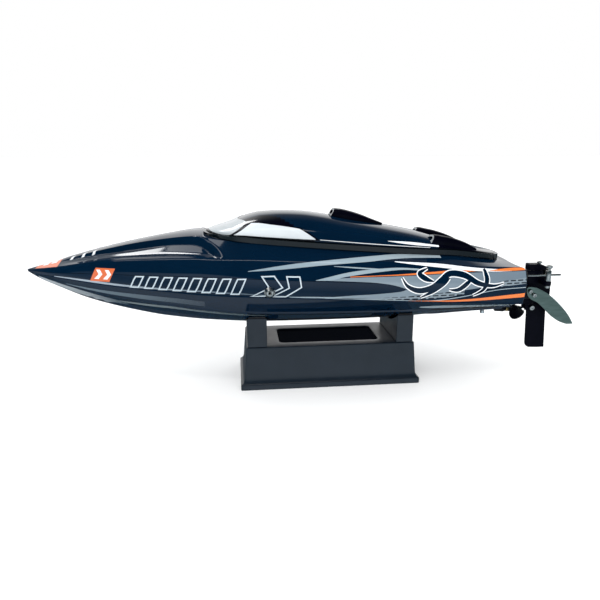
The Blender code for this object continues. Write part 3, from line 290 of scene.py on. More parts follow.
@functools.lru_cache(maxsize=None)
def canopy_half(station):
    """Starboard (y, z) line over the hatch from its rim to the ridge."""
    half_width = smooth(HATCH_HALF_WIDTH, station)
    base = smooth(RIM_Z, station) - 1.9 + (SEAL_HALF_HEIGHT + 1.9) * rim_share(station) + GAP
    rise = max(smooth(CANOPY_RIDGE_Z, station) - base, 0.8)
    line = []
    for i in range(CANOPY_STEPS + 1):
        angle = math.pi / 2 * i / CANOPY_STEPS
        line.append((half_width * math.cos(angle) ** 0.85, base + rise * math.sin(angle) ** 0.9))
    return line


def along(line, place):
    """Point and outward normal of a (y, z) line at a fractional index."""
    i = min(max(int(place), 0), len(line) - 2)
    t = place - i
    a, b = Vector(line[i]), Vector(line[i + 1])
    run = (b - a).normalized()
    return a + (b - a) * t, Vector((run.y, -run.x))


def crossing(line, z):
    """Fractional index where a rising line first reaches a height."""
    for i in range(len(line) - 1):
        if line[i][1] <= z <= line[i + 1][1]:
            return i + (z - line[i][1]) / max(line[i + 1][1] - line[i][1], 1e-9)
    return 0.0 if z < line[0][1] else len(line) - 1.0


def on_side(station, z, lift, side):
    """Point on the hull's or deck's side at a station and a height, in mm."""
    line = side_line(round(station, 2))
    p, normal = along(line, crossing(line, z))
    return aft(station) + corner(station, p.x, p.y), (p.x + normal.x * lift) * side, p.y + normal.y * lift


def on_bottom(station, part, lift, side):
    """Point on the hull's bottom: part 0 is the keel and 1 the chine."""
    line = hull_half(round(station, 2))
    i = next(i for i, place in enumerate(BOTTOM_PARTS) if place >= part)
    low, high = BOTTOM_PARTS[max(i - 1, 0)], BOTTOM_PARTS[i]
    p, normal = along(line, i - (high - part) / max(high - low, 1e-6))
    return aft(station) + corner(station, p.x, p.y), (p.x + normal.x * lift) * side, p.y + normal.y * lift


def on_deck(station, y, lift, side):
    """Point on top of the deck at a station and a distance from the middle, in mm."""
    line = deck_half(round(station, 2))
    for i in range(len(line) - 1, 0, -1):
        if line[i][0] <= y <= line[i - 1][0]:
            t = (y - line[i][0]) / max(line[i - 1][0] - line[i][0], 1e-9)
            p, normal = along(line, i - t)
            return aft(station), (p.x + normal.x * lift) * side, p.y + normal.y * lift
    p, normal = along(line, 0.0)
    return aft(station), (p.x + normal.x * lift) * side, p.y + normal.y * lift


def on_canopy(station, part, lift, side):
    """Point on the hatch: part 0 is the ridge and 1 the rim."""
    line = canopy_half(round(station, 2))
    p, normal = along(line, (1 - part) * (len(line) - 1))
    return aft(station), (p.x + normal.x * lift) * side, p.y + normal.y * lift


# ---------------------------------------------------------------- mesh helpers

def mesh_object(name, bm, *mats, smooth_angle=35.0):
    """Mesh object in the row frame, smooth-shaded except at edges sharper than smooth_angle."""
    mesh = bpy.data.meshes.new(name)
    bm.to_mesh(mesh)
    bm.free()
    mesh.shade_smooth()
    mesh.set_sharp_from_angle(angle=math.radians(smooth_angle))
    obj = bpy.data.objects.new(name, mesh)
    bpy.context.scene.collection.objects.link(obj)
    for mat in mats:
        mesh.materials.append(mat)
    return obj


def piece(obj, body, slot, *nodes):
    """Hangs a visible piece on the body it moves with and hides the CAD nodes it stands for; slot, its
    finish, is not used.
    """
    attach(obj, body)
    if nodes:
        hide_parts(*nodes)
    return obj


def add_grid(bm, rows, wrap=False, close=False, flip=False, keep=None, paint=None):
    """Quads between rows of (x, y, z) points in mm; returns the rows of vertices."""
    made = [[bm.verts.new(Vector(p) * MM) for p in row] for row in rows]
    count = len(rows[0])
    for r, (a, b) in enumerate(zip(made, made[1:] + (made[:1] if close else []))):
        for i in range(count if wrap else count - 1):
            if keep and not keep(r, i):
                continue
            j = (i + 1) % count
            loop = (a[i], b[i], b[j], a[j]) if flip else (a[i], a[j], b[j], b[i])
            face = bm.faces.new(loop)
            if paint:
                face.material_index = paint(r, i)
    return made


def closed_mesh(name, bm, *mats, smooth_angle=35.0):
    """Mesh object with every face turned outward."""
    bmesh.ops.recalc_face_normals(bm, faces=bm.faces)
    return mesh_object(name, bm, *mats, smooth_angle=smooth_angle)


def loft(name, sections, *mats, smooth_angle=35.0):
    """Closed solid through closed sections of equally many points."""
    bm = bmesh.new()
    rings = add_grid(bm, sections, wrap=True)
    bm.faces.new(rings[0])
    bm.faces.new(rings[-1][::-1])
    return closed_mesh(name, bm, *mats, smooth_angle=smooth_angle)


def torus_loft(name, rings, mat, smooth_angle=35.0):
    """Closed surface through rings whose last joins the first, such as a base with a hole."""
    bm = bmesh.new()
    add_grid(bm, rings, wrap=True, close=True)
    return closed_mesh(name, bm, mat, smooth_angle=smooth_angle)


def bevelled(obj, width, segments=3, angle=30.0):
    """Rounds the edges sharper than an angle, by a width in mm."""
    mod = obj.modifiers.new("edges", "BEVEL")
    mod.width = width * MM
    mod.segments = segments
    mod.limit_method = "ANGLE"
    mod.angle_limit = math.radians(angle)
    return obj


def baked(obj):
    """Replaces an object's mesh by what its modifiers make of it."""
    bpy.context.view_layer.update()
    graph = bpy.context.evaluated_depsgraph_get()
    mesh = bpy.data.meshes.new_from_object(obj.evaluated_get(graph))
    obj.modifiers.clear()
    obj.data = mesh
    mesh.shade_smooth()
    mesh.set_sharp_from_angle(angle=math.radians(35.0))
    return obj


def combine(obj, others, operation="DIFFERENCE", solver="EXACT"):
    """Cuts others out of obj, or joins them to it, and removes them."""
    for k, other in enumerate(others):
        mod = obj.modifiers.new("combine_%d" % k, "BOOLEAN")
        mod.operation = operation
        mod.object = other
        mod.solver = solver
    baked(obj)
    for other in others:
        bpy.data.objects.remove(other, do_unlink=True)
    return obj


def box(name, low, high, *mats):
    """Box between two corners, from a unit cube, for bevelling or cutting."""
    bm = bmesh.new()
    bmesh.ops.create_cube(bm, size=1.0)
    size = Vector(high) - Vector(low)
    centre = (Vector(high) + Vector(low)) / 2
    bmesh.ops.scale(bm, vec=size * MM, verts=bm.verts)
    bmesh.ops.translate(bm, vec=centre * MM, verts=bm.verts)
    return mesh_object(name, bm, *mats)


def spun(profile, origin, direction, steps):
    """Rings of a (radius, height) profile turned about direction through origin."""
    turn = Vector(direction).to_track_quat("Z", "Y").to_matrix()
    angles = [2 * math.pi * k / steps for k in range(steps)]
    return [[Vector(origin) + turn @ Vector((radius * math.cos(a), radius * math.sin(a), height))
             for a in angles] for radius, height in profile]


def turned(name, profile, origin, direction, *mats, steps=48, angle=32.0):
    """Turned solid from (radius, height) pairs, closed at the axis by a speck of a ring."""
    rings = spun([(max(radius, 0.004), height) for radius, height in profile], origin, direction, steps)
    return loft(name, rings, *mats, smooth_angle=angle)


def ring_turned(name, profile, origin, direction, mat, steps=48):
    """Turned ring whose closed profile never reaches the axis; its last point repeats the first."""
    return torus_loft(name, spun(profile[:-1], origin, direction, steps), mat, smooth_angle=32)


def rod(name, start, end, radius, *mats, edge=0.25, steps=40):
    """Cylinder between two points with a small chamfer at each end."""
    length = (Vector(end) - Vector(start)).length
    edge = min(edge, radius * 0.45, length * 0.3)
    profile = [(0, 0), (radius - edge, 0), (radius, edge), (radius, length - edge),
               (radius - edge, length), (0, length)]
    return turned(name, profile, start, Vector(end) - Vector(start), *mats, steps=steps)


def plate(name, outline, thickness, mat, plane="XZ", at=0.0, edge=0.3):
    """Flat piece with an outline and rounded edges, centred on its plane."""
    axes = {"XZ": lambda u, v, w: (u, w, v), "YZ": lambda u, v, w: (w, u, v),
            "XY": lambda u, v, w: (u, v, w)}[plane]
    sections = [[axes(u, v, w) for u, v in outline] for w in (at - thickness / 2, at + thickness / 2)]
    obj = loft(name, sections, mat)
    return bevelled(obj, edge, 3, 40.0) if edge else obj


def catmull(points, steps):
    """Smooth curve through points, steps to each stretch."""
    dense = []
    points = [Vector(p) for p in points]
    for i in range(len(points) - 1):
        a = points[max(i - 1, 0)]
        b, c = points[i], points[i + 1]
        d = points[min(i + 2, len(points) - 1)]
        for k in range(steps):
            t = k / steps
            dense.append(0.5 * (2 * b + (c - a) * t + (2 * a - 5 * b + 4 * c - d) * t * t
                                + (3 * b - a - 3 * c + d) * t ** 3))
    return dense + [points[-1]]


def tube(name, route, radius, mat):
    """Hose or wire along a smooth route."""
    sides = 20
    points = catmull(route, 8)
    rings = []
    side = Vector((0, 0, 1))
    for i, p in enumerate(points):
        heading = (points[min(i + 1, len(points) - 1)] - points[max(i - 1, 0)]).normalized()
        side = (side - heading * side.dot(heading)).normalized()
        other = heading.cross(side)
        rings.append([p + side * (radius * math.cos(2 * math.pi * k / sides))
                      + other * (radius * math.sin(2 * math.pi * k / sides)) for k in range(sides)])
    return loft(name, rings, mat)


def finer(node, mat, slot, body, width=0.3):
    """A CAD node's shape with its flat faces merged and its edges rounded."""
    bm = bmesh.new()
    bm.from_mesh(NODES[node].data)
    bmesh.ops.remove_doubles(bm, verts=bm.verts, dist=0.000002)
    bmesh.ops.dissolve_limit(bm, angle_limit=math.radians(1.0), verts=bm.verts, edges=bm.edges)
    obj = closed_mesh(node + "_finished", bm, mat)
    return piece(bevelled(obj, width, 2), body, slot, node)


# ---------------------------------------------------------------- materials

def new_material(name):
    """A new material, its node tree and its shader."""
    mat = bpy.data.materials.new(name)
    mat.use_nodes = True
    return mat, mat.node_tree, mat.node_tree.nodes["Principled BSDF"]


def place_in(tree, stretch=(1.0, 1.0, 1.0)):
    """Object coordinates in metres, stretched along the axes."""
    where = tree.nodes.new("ShaderNodeTexCoord")
    mapping = tree.nodes.new("ShaderNodeMapping")
    mapping.inputs["Scale"].default_value = stretch
    tree.links.new(where.outputs["Object"], mapping.inputs["Vector"])
    return mapping.outputs["Vector"]


def axes_of(tree, space):
    """X, Y and Z outputs of a kind of texture coordinate."""
    where = tree.nodes.new("ShaderNodeTexCoord")
    parts = tree.nodes.new("ShaderNodeSeparateXYZ")
    tree.links.new(where.outputs[space], parts.inputs["Vector"])
    return parts.outputs


def noise(tree, vector, scale, detail=3.0):
    """Cloudy 0..1 pattern."""
    node = tree.nodes.new("ShaderNodeTexNoise")
    node.inputs["Scale"].default_value = scale
    node.inputs["Detail"].default_value = detail
    node.inputs["Roughness"].default_value = 0.55
    tree.links.new(vector, node.inputs["Vector"])
    return node.outputs["Fac"]


def waves(tree, vector, scale, direction):
    """Bands across one axis."""
    node = tree.nodes.new("ShaderNodeTexWave")
    node.bands_direction = direction
    node.inputs["Scale"].default_value = scale
    tree.links.new(vector, node.inputs["Vector"])
    return node.outputs["Fac"]


def colours(tree, fac, *stops):
    """Colour ramp through (position, colour) stops."""
    ramp_ = tree.nodes.new("ShaderNodeValToRGB")
    elements = ramp_.color_ramp.elements
    while len(elements) < len(stops):
        elements.new(0.5)
    for element, (position, colour) in zip(elements, stops):
        element.position = position
        element.color = (*colour, 1.0)
    tree.links.new(fac, ramp_.inputs["Fac"])
    return ramp_.outputs["Color"]


def map_range(tree, value, low, high, to_low=0.0, to_high=1.0):
    """Maps low..high to to_low..to_high and holds the ends."""
    node = tree.nodes.new("ShaderNodeMapRange")
    for name, number in (("From Min", low), ("From Max", high), ("To Min", to_low), ("To Max", to_high)):
        node.inputs[name].default_value = number
    tree.links.new(value, node.inputs["Value"])
    return node.outputs["Result"]


def spread(tree, fac, low, high):
    """Maps the middle half of a pattern to low..high."""
    return map_range(tree, fac, 0.25, 0.75, low, high)


def math_of(tree, operation, a, b):
    """Result of a math node on two outputs."""
    node = tree.nodes.new("ShaderNodeMath")
    node.operation = operation
    tree.links.new(a, node.inputs[0])
    tree.links.new(b, node.inputs[1])
    return node.outputs["Value"]


def relief(tree, height, depth, shader):
    """Bump of the given depth in mm from a 0..1 pattern."""
    node = tree.nodes.new("ShaderNodeBump")
    node.inputs["Distance"].default_value = depth * MM
    tree.links.new(height, node.inputs["Height"])
    tree.links.new(node.outputs["Normal"], shader.inputs["Normal"])


def surface(name, dark, light, rough, mottle=60.0, grain=2500.0, depth=0.01, metallic=0.0,
            stretch=(1.0, 1.0, 1.0), ior=1.5):
    """Common finish: cloudy colour and roughness over the piece, and a fine relief."""
    mat, tree, shader = new_material(name)
    vector = place_in(tree, stretch)
    cloud = noise(tree, vector, mottle)
    tree.links.new(colours(tree, cloud, (0.3, dark), (0.7, light)), shader.inputs["Base Color"])
    tree.links.new(spread(tree, noise(tree, vector, mottle * 2.3), *rough), shader.inputs["Roughness"])
    relief(tree, noise(tree, vector, grain, 2.0), depth, shader)
    shader.inputs["Metallic"].default_value = metallic
    shader.inputs["IOR"].default_value = ior
    return mat


def woven(name, dark, light, pitch):
    """Narrow webbing: threads crossing at a pitch in mm."""
    mat, tree, shader = new_material(name)
    vector = place_in(tree)
    scale = math.pi / (pitch * MM) / 20
    weave = math_of(tree, "MULTIPLY", waves(tree, vector, scale, "X"), waves(tree, vector, scale, "Y"))
    tree.links.new(colours(tree, weave, (0.0, dark), (0.8, light)), shader.inputs["Base Color"])
    tree.links.new(spread(tree, noise(tree, vector, 900), 0.75, 0.95), shader.inputs["Roughness"])
    relief(tree, weave, 0.2, shader)
    return mat


def cellular(name, dark, light, size):
    """Closed-cell foam with cells of a size in mm."""
    mat, tree, shader = new_material(name)
    vector = place_in(tree)
    cell = tree.nodes.new("ShaderNodeTexVoronoi")
    cell.inputs["Scale"].default_value = 1 / (size * MM)
    tree.links.new(vector, cell.inputs["Vector"])
    distance = cell.outputs["Distance"]
    tree.links.new(colours(tree, distance, (0.1, light), (0.8, dark)), shader.inputs["Base Color"])
    tree.links.new(spread(tree, noise(tree, vector, 400), 0.85, 1.0), shader.inputs["Roughness"])
    relief(tree, distance, 0.25, shader)
    return mat


def tread(name, ink, ground, pitch):
    """Printed band of staggered dashes with a pitch in mm."""
    mat, tree, shader = new_material(name)
    vector = place_in(tree, (1 / (pitch * MM), 1.0, 1 / (pitch * 0.62 * MM)))
    brick = tree.nodes.new("ShaderNodeTexBrick")
    turn = tree.nodes.new("ShaderNodeMapping")
    turn.inputs["Rotation"].default_value = (math.radians(90), 0.0, 0.0)
    tree.links.new(vector, turn.inputs["Vector"])
    tree.links.new(turn.outputs["Vector"], brick.inputs["Vector"])
    for key, value in (("Color1", (*ink, 1.0)), ("Color2", (*[c * 1.5 for c in ink], 1.0)),
                       ("Mortar", (*ground, 1.0)), ("Scale", 1.0), ("Mortar Size", 0.16),
                       ("Mortar Smooth", 0.2), ("Brick Width", 1.0), ("Row Height", 0.55)):
        brick.inputs[key].default_value = value
    tree.links.new(brick.outputs["Color"], shader.inputs["Base Color"])
    tree.links.new(spread(tree, noise(tree, vector, 3), 0.12, 0.25), shader.inputs["Roughness"])
    relief(tree, brick.outputs["Fac"], 0.02, shader)
    return mat


def shaded_ink(name, low, high, low_x, high_x):
    """Glossy film colour that runs from low to high between two stations: printed ink, and painted
    highlight and reflection on the chine and the bottom.
    """
    mat, tree, shader = new_material(name)
    place = map_range(tree, axes_of(tree, "Object")["X"], aft(low_x) * MM, aft(high_x) * MM)
    tree.links.new(colours(tree, place, (0.0, low), (1.0, high)), shader.inputs["Base Color"])
    vector = place_in(tree)
    tree.links.new(spread(tree, noise(tree, vector, 90), 0.08, 0.18), shader.inputs["Roughness"])
    relief(tree, noise(tree, vector, 260), 0.004, shader)
    shader.inputs["Coat Weight"].default_value = 0.6
    return mat


def make_materials():
    """Every finish of the object, by a short name."""
    return {
        "navy": surface("navy_gloss", (0.0004, 0.0070, 0.020), (0.0008, 0.0092, 0.025), (0.05, 0.11),
                        mottle=18.0, grain=120.0, depth=0.004, ior=1.38),
        "black": surface("black_gloss", (0.0006, 0.0007, 0.003), (0.0014, 0.0015, 0.005), (0.06, 0.14),
                         mottle=25.0, grain=160.0, depth=0.004, ior=1.38),
        "film": surface("window_film", (0.54, 0.58, 0.61), (0.62, 0.66, 0.69), (0.16, 0.24),
                        mottle=30.0, grain=700.0, depth=0.004),
        "stand": surface("stand_plastic", (0.004, 0.009, 0.016), (0.006, 0.012, 0.021), (0.30, 0.40),
                         mottle=40.0, grain=1500.0, depth=0.012, ior=1.5),
        "foam": cellular("foam", (0.010, 0.010, 0.012), (0.030, 0.030, 0.033), 0.7),
        "plastic": surface("black_plastic", (0.0010, 0.0011, 0.0035), (0.0022, 0.0023, 0.0055),
                           (0.30, 0.44), mottle=90.0, grain=2200.0, depth=0.012, ior=1.27),
        "steel": surface("steel", (0.42, 0.43, 0.42), (0.58, 0.58, 0.56), (0.20, 0.38), mottle=350.0,
                         grain=900.0, depth=0.006, metallic=1.0, stretch=(0.12, 1.0, 1.6)),
        "aluminium": surface("aluminium", (0.62, 0.63, 0.65), (0.74, 0.75, 0.76), (0.24, 0.36),
                             mottle=250.0, grain=1400.0, depth=0.006, metallic=1.0,
                             stretch=(1.0, 0.2, 0.2)),
        "blue_aluminium": surface("blue_anodised", (0.05, 0.13, 0.42), (0.08, 0.18, 0.52), (0.22, 0.34),
                                  mottle=200.0, grain=1500.0, depth=0.005, metallic=1.0),
        "fin": surface("turn_fin_steel", (0.13, 0.18, 0.16), (0.18, 0.24, 0.215), (0.26, 0.40),
                       mottle=300.0, grain=900.0, depth=0.006, metallic=1.0, stretch=(0.3, 1.0, 1.6)),
        "brass": surface("brass", (0.62, 0.42, 0.16), (0.74, 0.53, 0.24), (0.22, 0.36), mottle=200.0,
                         grain=1200.0, depth=0.005, metallic=1.0, stretch=(0.2, 1.0, 1.0)),
        "rubber": surface("rubber", (0.014, 0.014, 0.014), (0.024, 0.024, 0.024), (0.65, 0.85),
                          mottle=150.0, grain=1800.0, depth=0.03),
        "silicone": surface("silicone", (0.30, 0.44, 0.54), (0.38, 0.54, 0.64), (0.32, 0.46),
                            mottle=120.0, grain=1500.0, depth=0.01),
        "wrap": surface("battery_wrap", (0.030, 0.065, 0.26), (0.045, 0.090, 0.33), (0.20, 0.34),
                        mottle=70.0, grain=180.0, depth=0.05),
        "red": surface("red_sleeve", (0.42, 0.012, 0.012), (0.55, 0.022, 0.020), (0.38, 0.52),
                       mottle=140.0, grain=1600.0, depth=0.01),
        "webbing": woven("webbing", (0.008, 0.008, 0.009), (0.035, 0.035, 0.038), 0.9),
        "silver": shaded_ink("silver_ink", (0.46, 0.54, 0.60), (0.62, 0.69, 0.74), 190, 330),
        "screen": surface("windscreen_film", (0.33, 0.36, 0.38), (0.38, 0.41, 0.43), (0.16, 0.24),
                          mottle=30.0, grain=700.0, depth=0.004),
        "rim": surface("rim_gloss", (0.0010, 0.0030, 0.0050), (0.0022, 0.0050, 0.0075), (0.12, 0.22),
                       mottle=40.0, grain=500.0, depth=0.005, ior=1.42),
        # deep black: the steering parts' own black, and painted shade inside the stand
        "deep": surface("deep_black_plastic_and_painted_shade", (0.0004, 0.0005, 0.0032), (0.0008, 0.0009, 0.0048),
                        (0.32, 0.46), mottle=90.0, grain=2200.0, depth=0.012, ior=1.17),
        # painted highlight: a light line along the chine, bright at the bow and fading aft
        "chine": shaded_ink("chine_line_ink", (0.30, 0.36, 0.42), (0.07, 0.10, 0.13), 60, 190),
        # painted reflection: a light patch on the bow's bottom, fading to navy aft
        "flash": shaded_ink("bow_flash_ink", (0.40, 0.44, 0.47), (0.03, 0.05, 0.07), 22, 84),
        # painted reflection: a soft sheen on the bow's bottom, fading to navy aft
        "sheen": shaded_ink("bow_sheen_ink", (0.11, 0.155, 0.19), (0.004, 0.014, 0.03), 40, 150),
        # painted reflection: a grey band of sheen along the middle of the bottom
        "low_sheen": shaded_ink("keel_sheen_ink", (0.15, 0.18, 0.19), (0.05, 0.07, 0.08), 90, 200),
        # painted highlight: light grey on the ducts' end faces
        "lip": surface("painted_lip_highlight", (0.16, 0.18, 0.19), (0.22, 0.24, 0.25), (0.2, 0.3), mottle=60.0,
                       grain=900.0, depth=0.008),
        # dull silver: printed streaks on the sides, and painted reflection on the bottom aft
        "streak": shaded_ink("dull_silver_ink_and_painted_reflection", (0.22, 0.29, 0.34), (0.32, 0.39, 0.43), 190, 330),
        "panel": shaded_ink("grey_panel_ink", (0.205, 0.26, 0.30), (0.15, 0.195, 0.24), 230, 420),
        # white: printed marks, and the painted highlight line above the hatch's rim
        "white": shaded_ink("white_ink_and_painted_highlight", (0.80, 0.83, 0.86), (0.86, 0.88, 0.90), 40, 420),
        "orange": shaded_ink("orange_ink", (0.60, 0.13, 0.045), (0.78, 0.20, 0.045), 60, 420),
        "tread": tread("tread_print", (0.006, 0.010, 0.016), (0.20, 0.25, 0.29), 7.0),
    }


# ---------------------------------------------------------------- hull, deck and hatch mouldings

def mirrored(half):
    """Full port-to-starboard line from a starboard line that ends or starts on the middle."""
    if abs(half[0][0]) < 1e-6:
        return [(-y, z) for y, z in half[:0:-1]] + half
    return [(-y, z) for y, z in half[:-1]] + half[::-1]


def rounded_end(row, station, seam_z):
    """Draws the last stations in a little, so that the transom's edge is rounded."""
    past = max(station - 418.8, 0.0) / 1.2
    k = 1 - 0.02 * (1 - math.sqrt(max(1 - past * past, 0.0)))
    return [(y * k, seam_z + (z - seam_z) * k) for y, z in row]


def walled(obj):
    """Gives an open surface the moulding's wall thickness."""
    mod = obj.modifiers.new("wall", "SOLIDIFY")
    mod.thickness = SKIN * MM
    mod.offset = -1.0
    return mod


def shell(obj, fade_length):
    """Walls a moulding, thinning out toward the bow."""
    group = obj.vertex_groups.new(name="wall")
    first = min(v.co.x for v in obj.data.vertices)
    for v in obj.data.vertices:
        group.add([v.index], 0.04 + 0.96 * ramp((v.co.x - first) / MM, 0, fade_length), "REPLACE")
    walled(obj).vertex_group = "wall"
    return obj


def skin_rows(half, marks, lift=0.0):
    """Whole lines of the hull or the deck at stations, with the transom's edge and corners."""
    rows = []
    for s in marks:
        row = rounded_end(mirrored(half(s)), s, smooth(SEAM_Z, s) + lift)
        rows.append([(aft(s) + corner(s, y, z), y, z) for y, z in row])
    return rows


def run(*pieces):
    """Stations from (first, last, step) stretches."""
    marks = set()
    for first, last, step in pieces:
        count = max(round((last - first) / step), 1)
        marks |= {round(first + (last - first) * i / count, 3) for i in range(count + 1)}
    return sorted(marks)


def hull_moulding(mats):
    """Bottom, topsides and transom, with bores for the shaft's tube and the water outlet, and painted
    shade along the outer rail aft.
    """
    marks = run((0, 20, 1.0), (20, 180, 2.0), (180, 396, 3.0), (396, 418, 2.0), (418.8, 420, 0.3))
    rows = skin_rows(hull_half, marks)
    keel = len(rows[0]) // 2
    rail = RAILS[1][0]

    # Painted shade: faces just inboard of the outer rail's edge are black along this stretch.
    def rail_shade_paint(r, i):
        j = keel - 1 - i if i < keel else i - keel
        return int(RAIL_SHADE[0] <= marks[r] < RAIL_SHADE[1] and j < len(BOTTOM_PARTS)
                   and -0.09 <= BOTTOM_PARTS[j] - rail <= 0.015)

    bm = bmesh.new()
    made = add_grid(bm, rows, paint=rail_shade_paint)
    last = made[-1]
    n = len(last)
    for i in range(n // 2):
        loop = [last[i], last[i + 1], last[n - 2 - i], last[n - 1 - i]]
        bm.faces.new(loop if i + 1 != n - 2 - i else loop[:2] + loop[3:])
    obj = shell(mesh_object("hull_moulding", bm, mats["navy"], mats["black"]), 14)
    start, end = shaft_point(400), shaft_point(430)
    combine(obj, [rod("tube_bore", start, end, 2.7), rod("outlet_bore", (aft(203), -62, 94),
                                                         (aft(203), -40, 94), 2.3)], solver="MANIFOLD")
    return piece(obj, "boat", "navy_gloss", "hull_shell")


def deck_moulding(mats):
    """Foredeck with its hollows, side decks and the hatch's opening, with a slot for the pushrod."""
    marks = run((0, 20, 1.0), (20, 136, 1.6), (136, 148.8, 0.8), (148.8, 152, 0.32), (152, 172, 0.8),
                (172, 176, 1.0), (176, 388, 3.0), (388, 418, 2.0), (418.8, 420, 0.3))
    rows = skin_rows(deck_half, marks, GAP)
    edge = EDGE_INDEX
    count = len(rows[0])

    def solid_here(r, i):
        inside = edge <= i < count - 1 - edge
        return not (inside and marks[r] >= OPENING_FRONT - 0.01 and marks[r + 1] <= OPENING_REAR + 0.01)

    bm = bmesh.new()
    made = add_grid(bm, rows, flip=True, keep=solid_here)
    bmesh.ops.delete(bm, geom=[v for v in bm.verts if not v.link_faces], context="VERTS")
    last = made[-1]
    for i in range(count // 2):
        loop = [last[i], last[count - 1 - i], last[count - 2 - i], last[i + 1]]
        bm.faces.new(loop if i + 1 != count - 2 - i else loop[:3])
    obj = shell(mesh_object("deck_moulding", bm, mats["navy"]), 14)
    y = PIVOT[1] + TILLER[1]
    combine(obj, [box("rod_slot", (aft(414), y - 3.4, ROD_Z - 2.2), (aft(426), y + 3.4, ROD_Z + 2.2))],
            solver="MANIFOLD")
    return piece(obj, "boat", "navy_gloss", "deck_shell")


def hatch_stations(count):
    """Stations along the hatch, closer together toward its ends."""
    length = HATCH_REAR - HATCH_FRONT
    return [HATCH_FRONT + length * (1 - math.cos(math.pi * i / (count - 1))) / 2 for i in range(count)]


def hatch_moulding(mats):
    """Canopy and engine cover in one, black round the windows and at the tail."""
    marks = hatch_stations(111)
    rows = [[(aft(s), y, z) for y, z in mirrored(canopy_half(round(s, 2)))] for s in marks]

    def black_here(r, i):
        part = abs(i + 0.5 - CANOPY_STEPS) / CANOPY_STEPS
        return int(marks[r] > HATCH_BLACK or part > 0.27 + 0.75 * ramp(marks[r], 200, 246))

    bm = bmesh.new()
    made = add_grid(bm, rows, flip=True, paint=black_here)
    bm.faces.new(made[0][::-1])
    last = bm.faces.new(made[-1])
    last.material_index = 1
    obj = mesh_object("hatch_moulding", bm, mats["navy"], mats["black"])
    walled(obj)
    return piece(obj, "hatch", "navy_gloss", "canopy_shell")


def hatch_plan():
    """Plan outline of the hatch as (station, y), port forward to aft and back along starboard."""
    half = [(s, smooth(HATCH_HALF_WIDTH, s)) for s in hatch_stations(90)]
    return [(s, -w) for s, w in half] + [(s, w) for s, w in reversed(half)]


def hatch_rim(mats):
    """Black rim round the hatch's foot, with a rounded outer face."""
    plan = hatch_plan()
    count = len(plan)
    profile = [(-3.2, -1.9), (-1.2, -1.9), (0.15, -1.9), (0.55, -1.55), (0.8, -0.8), (0.9, 0.2),
               (0.8, 1.1), (0.45, 1.8), (-0.2, 2.15), (-1.4, 2.2), (-3.2, 2.2)]
    rings = []
    for i, (s, y) in enumerate(plan):
        a, b = Vector(plan[i - 1]), Vector(plan[(i + 1) % count])
        heading = (b - a).normalized()
        out = Vector((heading.y, -heading.x)) * -1
        foot = smooth(RIM_Z, s) - 1.9
        rings.append([(aft(s + out.x * o), y + out.y * o, foot + (rise + 1.9) * rim_share(s))
                      for o, rise in profile])
    obj = torus_loft("hatch_rim", rings, mats["rim"], smooth_angle=50)
    return piece(obj, "hatch", "black_gloss", "hatch_seal")


def shaft_point(station):
    """Point on the propeller shaft's line."""
    return Vector((aft(station), 0.0, PROP_Z + (PROP_STATION - station) * math.tan(SHAFT_ANGLE)))


def shaft_way():
    """Vector aft along the propeller shaft's line."""
    return shaft_point(PROP_STATION) - shaft_point(PROP_STATION - 100)


def canopy_height(station, y):
    """Height of the hatch at a distance from its middle."""
    line = canopy_half(round(station, 2))
    for (y0, z0), (y1, z1) in zip(line, line[1:]):
        if y1 <= abs(y) <= y0:
            return z1 + (z0 - z1) * (abs(y) - y1) / max(y0 - y1, 1e-6)
    return line[0][1]


def duct(name, marks, side, mats, mouth, squareness):
    """Air duct lofted along the hatch, with an oval mouth; its end faces are painted light grey as a
    highlight.

    Each mark is station, inner y, outer y, top height and how far aft the top leans.
    """
    sections = []
    for s, inner, outer, top, lean in marks:
        middle, half = (inner + outer) / 2, (outer - inner) / 2
        section = []
        for k in range(25):
            a = math.pi * k / 24
            u = math.copysign(abs(math.cos(a)) ** squareness, math.cos(a))
            y = middle + half * u
            low = canopy_height(s, y) + 0.1
            rise = math.sin(a) ** squareness
            section.append((aft(s + lean * rise), y * side, low + max(top - low, 0.5) * rise))
        for k in range(1, 12):
            y = inner + (outer - inner) * k / 12
            section.append((aft(s), y * side, canopy_height(s, y) + 0.1))
        sections.append(section)
    obj = loft(name, sections, mats["deep"], mats["lip"], smooth_angle=48)
    # End faces take the grey: painted highlight on the duct's lip and tail.
    for face in obj.data.polygons:
        if len(face.vertices) > 4:
            face.material_index = 1
    y, z, half_y, half_z = mouth
    ring = [(y * side + half_y * math.cos(math.pi * k / 16), z + half_z * math.sin(math.pi * k / 16))
            for k in range(32)]
    front = marks[0][0]
    combine(obj, [loft(name + "_mouth", [[(aft(front + x), v, w) for v, w in ring] for x in (-4, 11)],
                       mats["black"])])
    return bevelled(obj, 0.3, 2, 50.0)


def resampled(marks):
    """More sections between given ones, along smooth lines."""
    steps = 18
    columns = list(zip(*marks))
    stations = [marks[0][0] + (marks[-1][0] - marks[0][0]) * i / steps for i in range(steps + 1)]
    lines = [[(m[0], m[k]) for m in marks] for k in range(1, len(columns))]
    return [(s, *[smooth(line, s) for line in lines]) for s in stations]


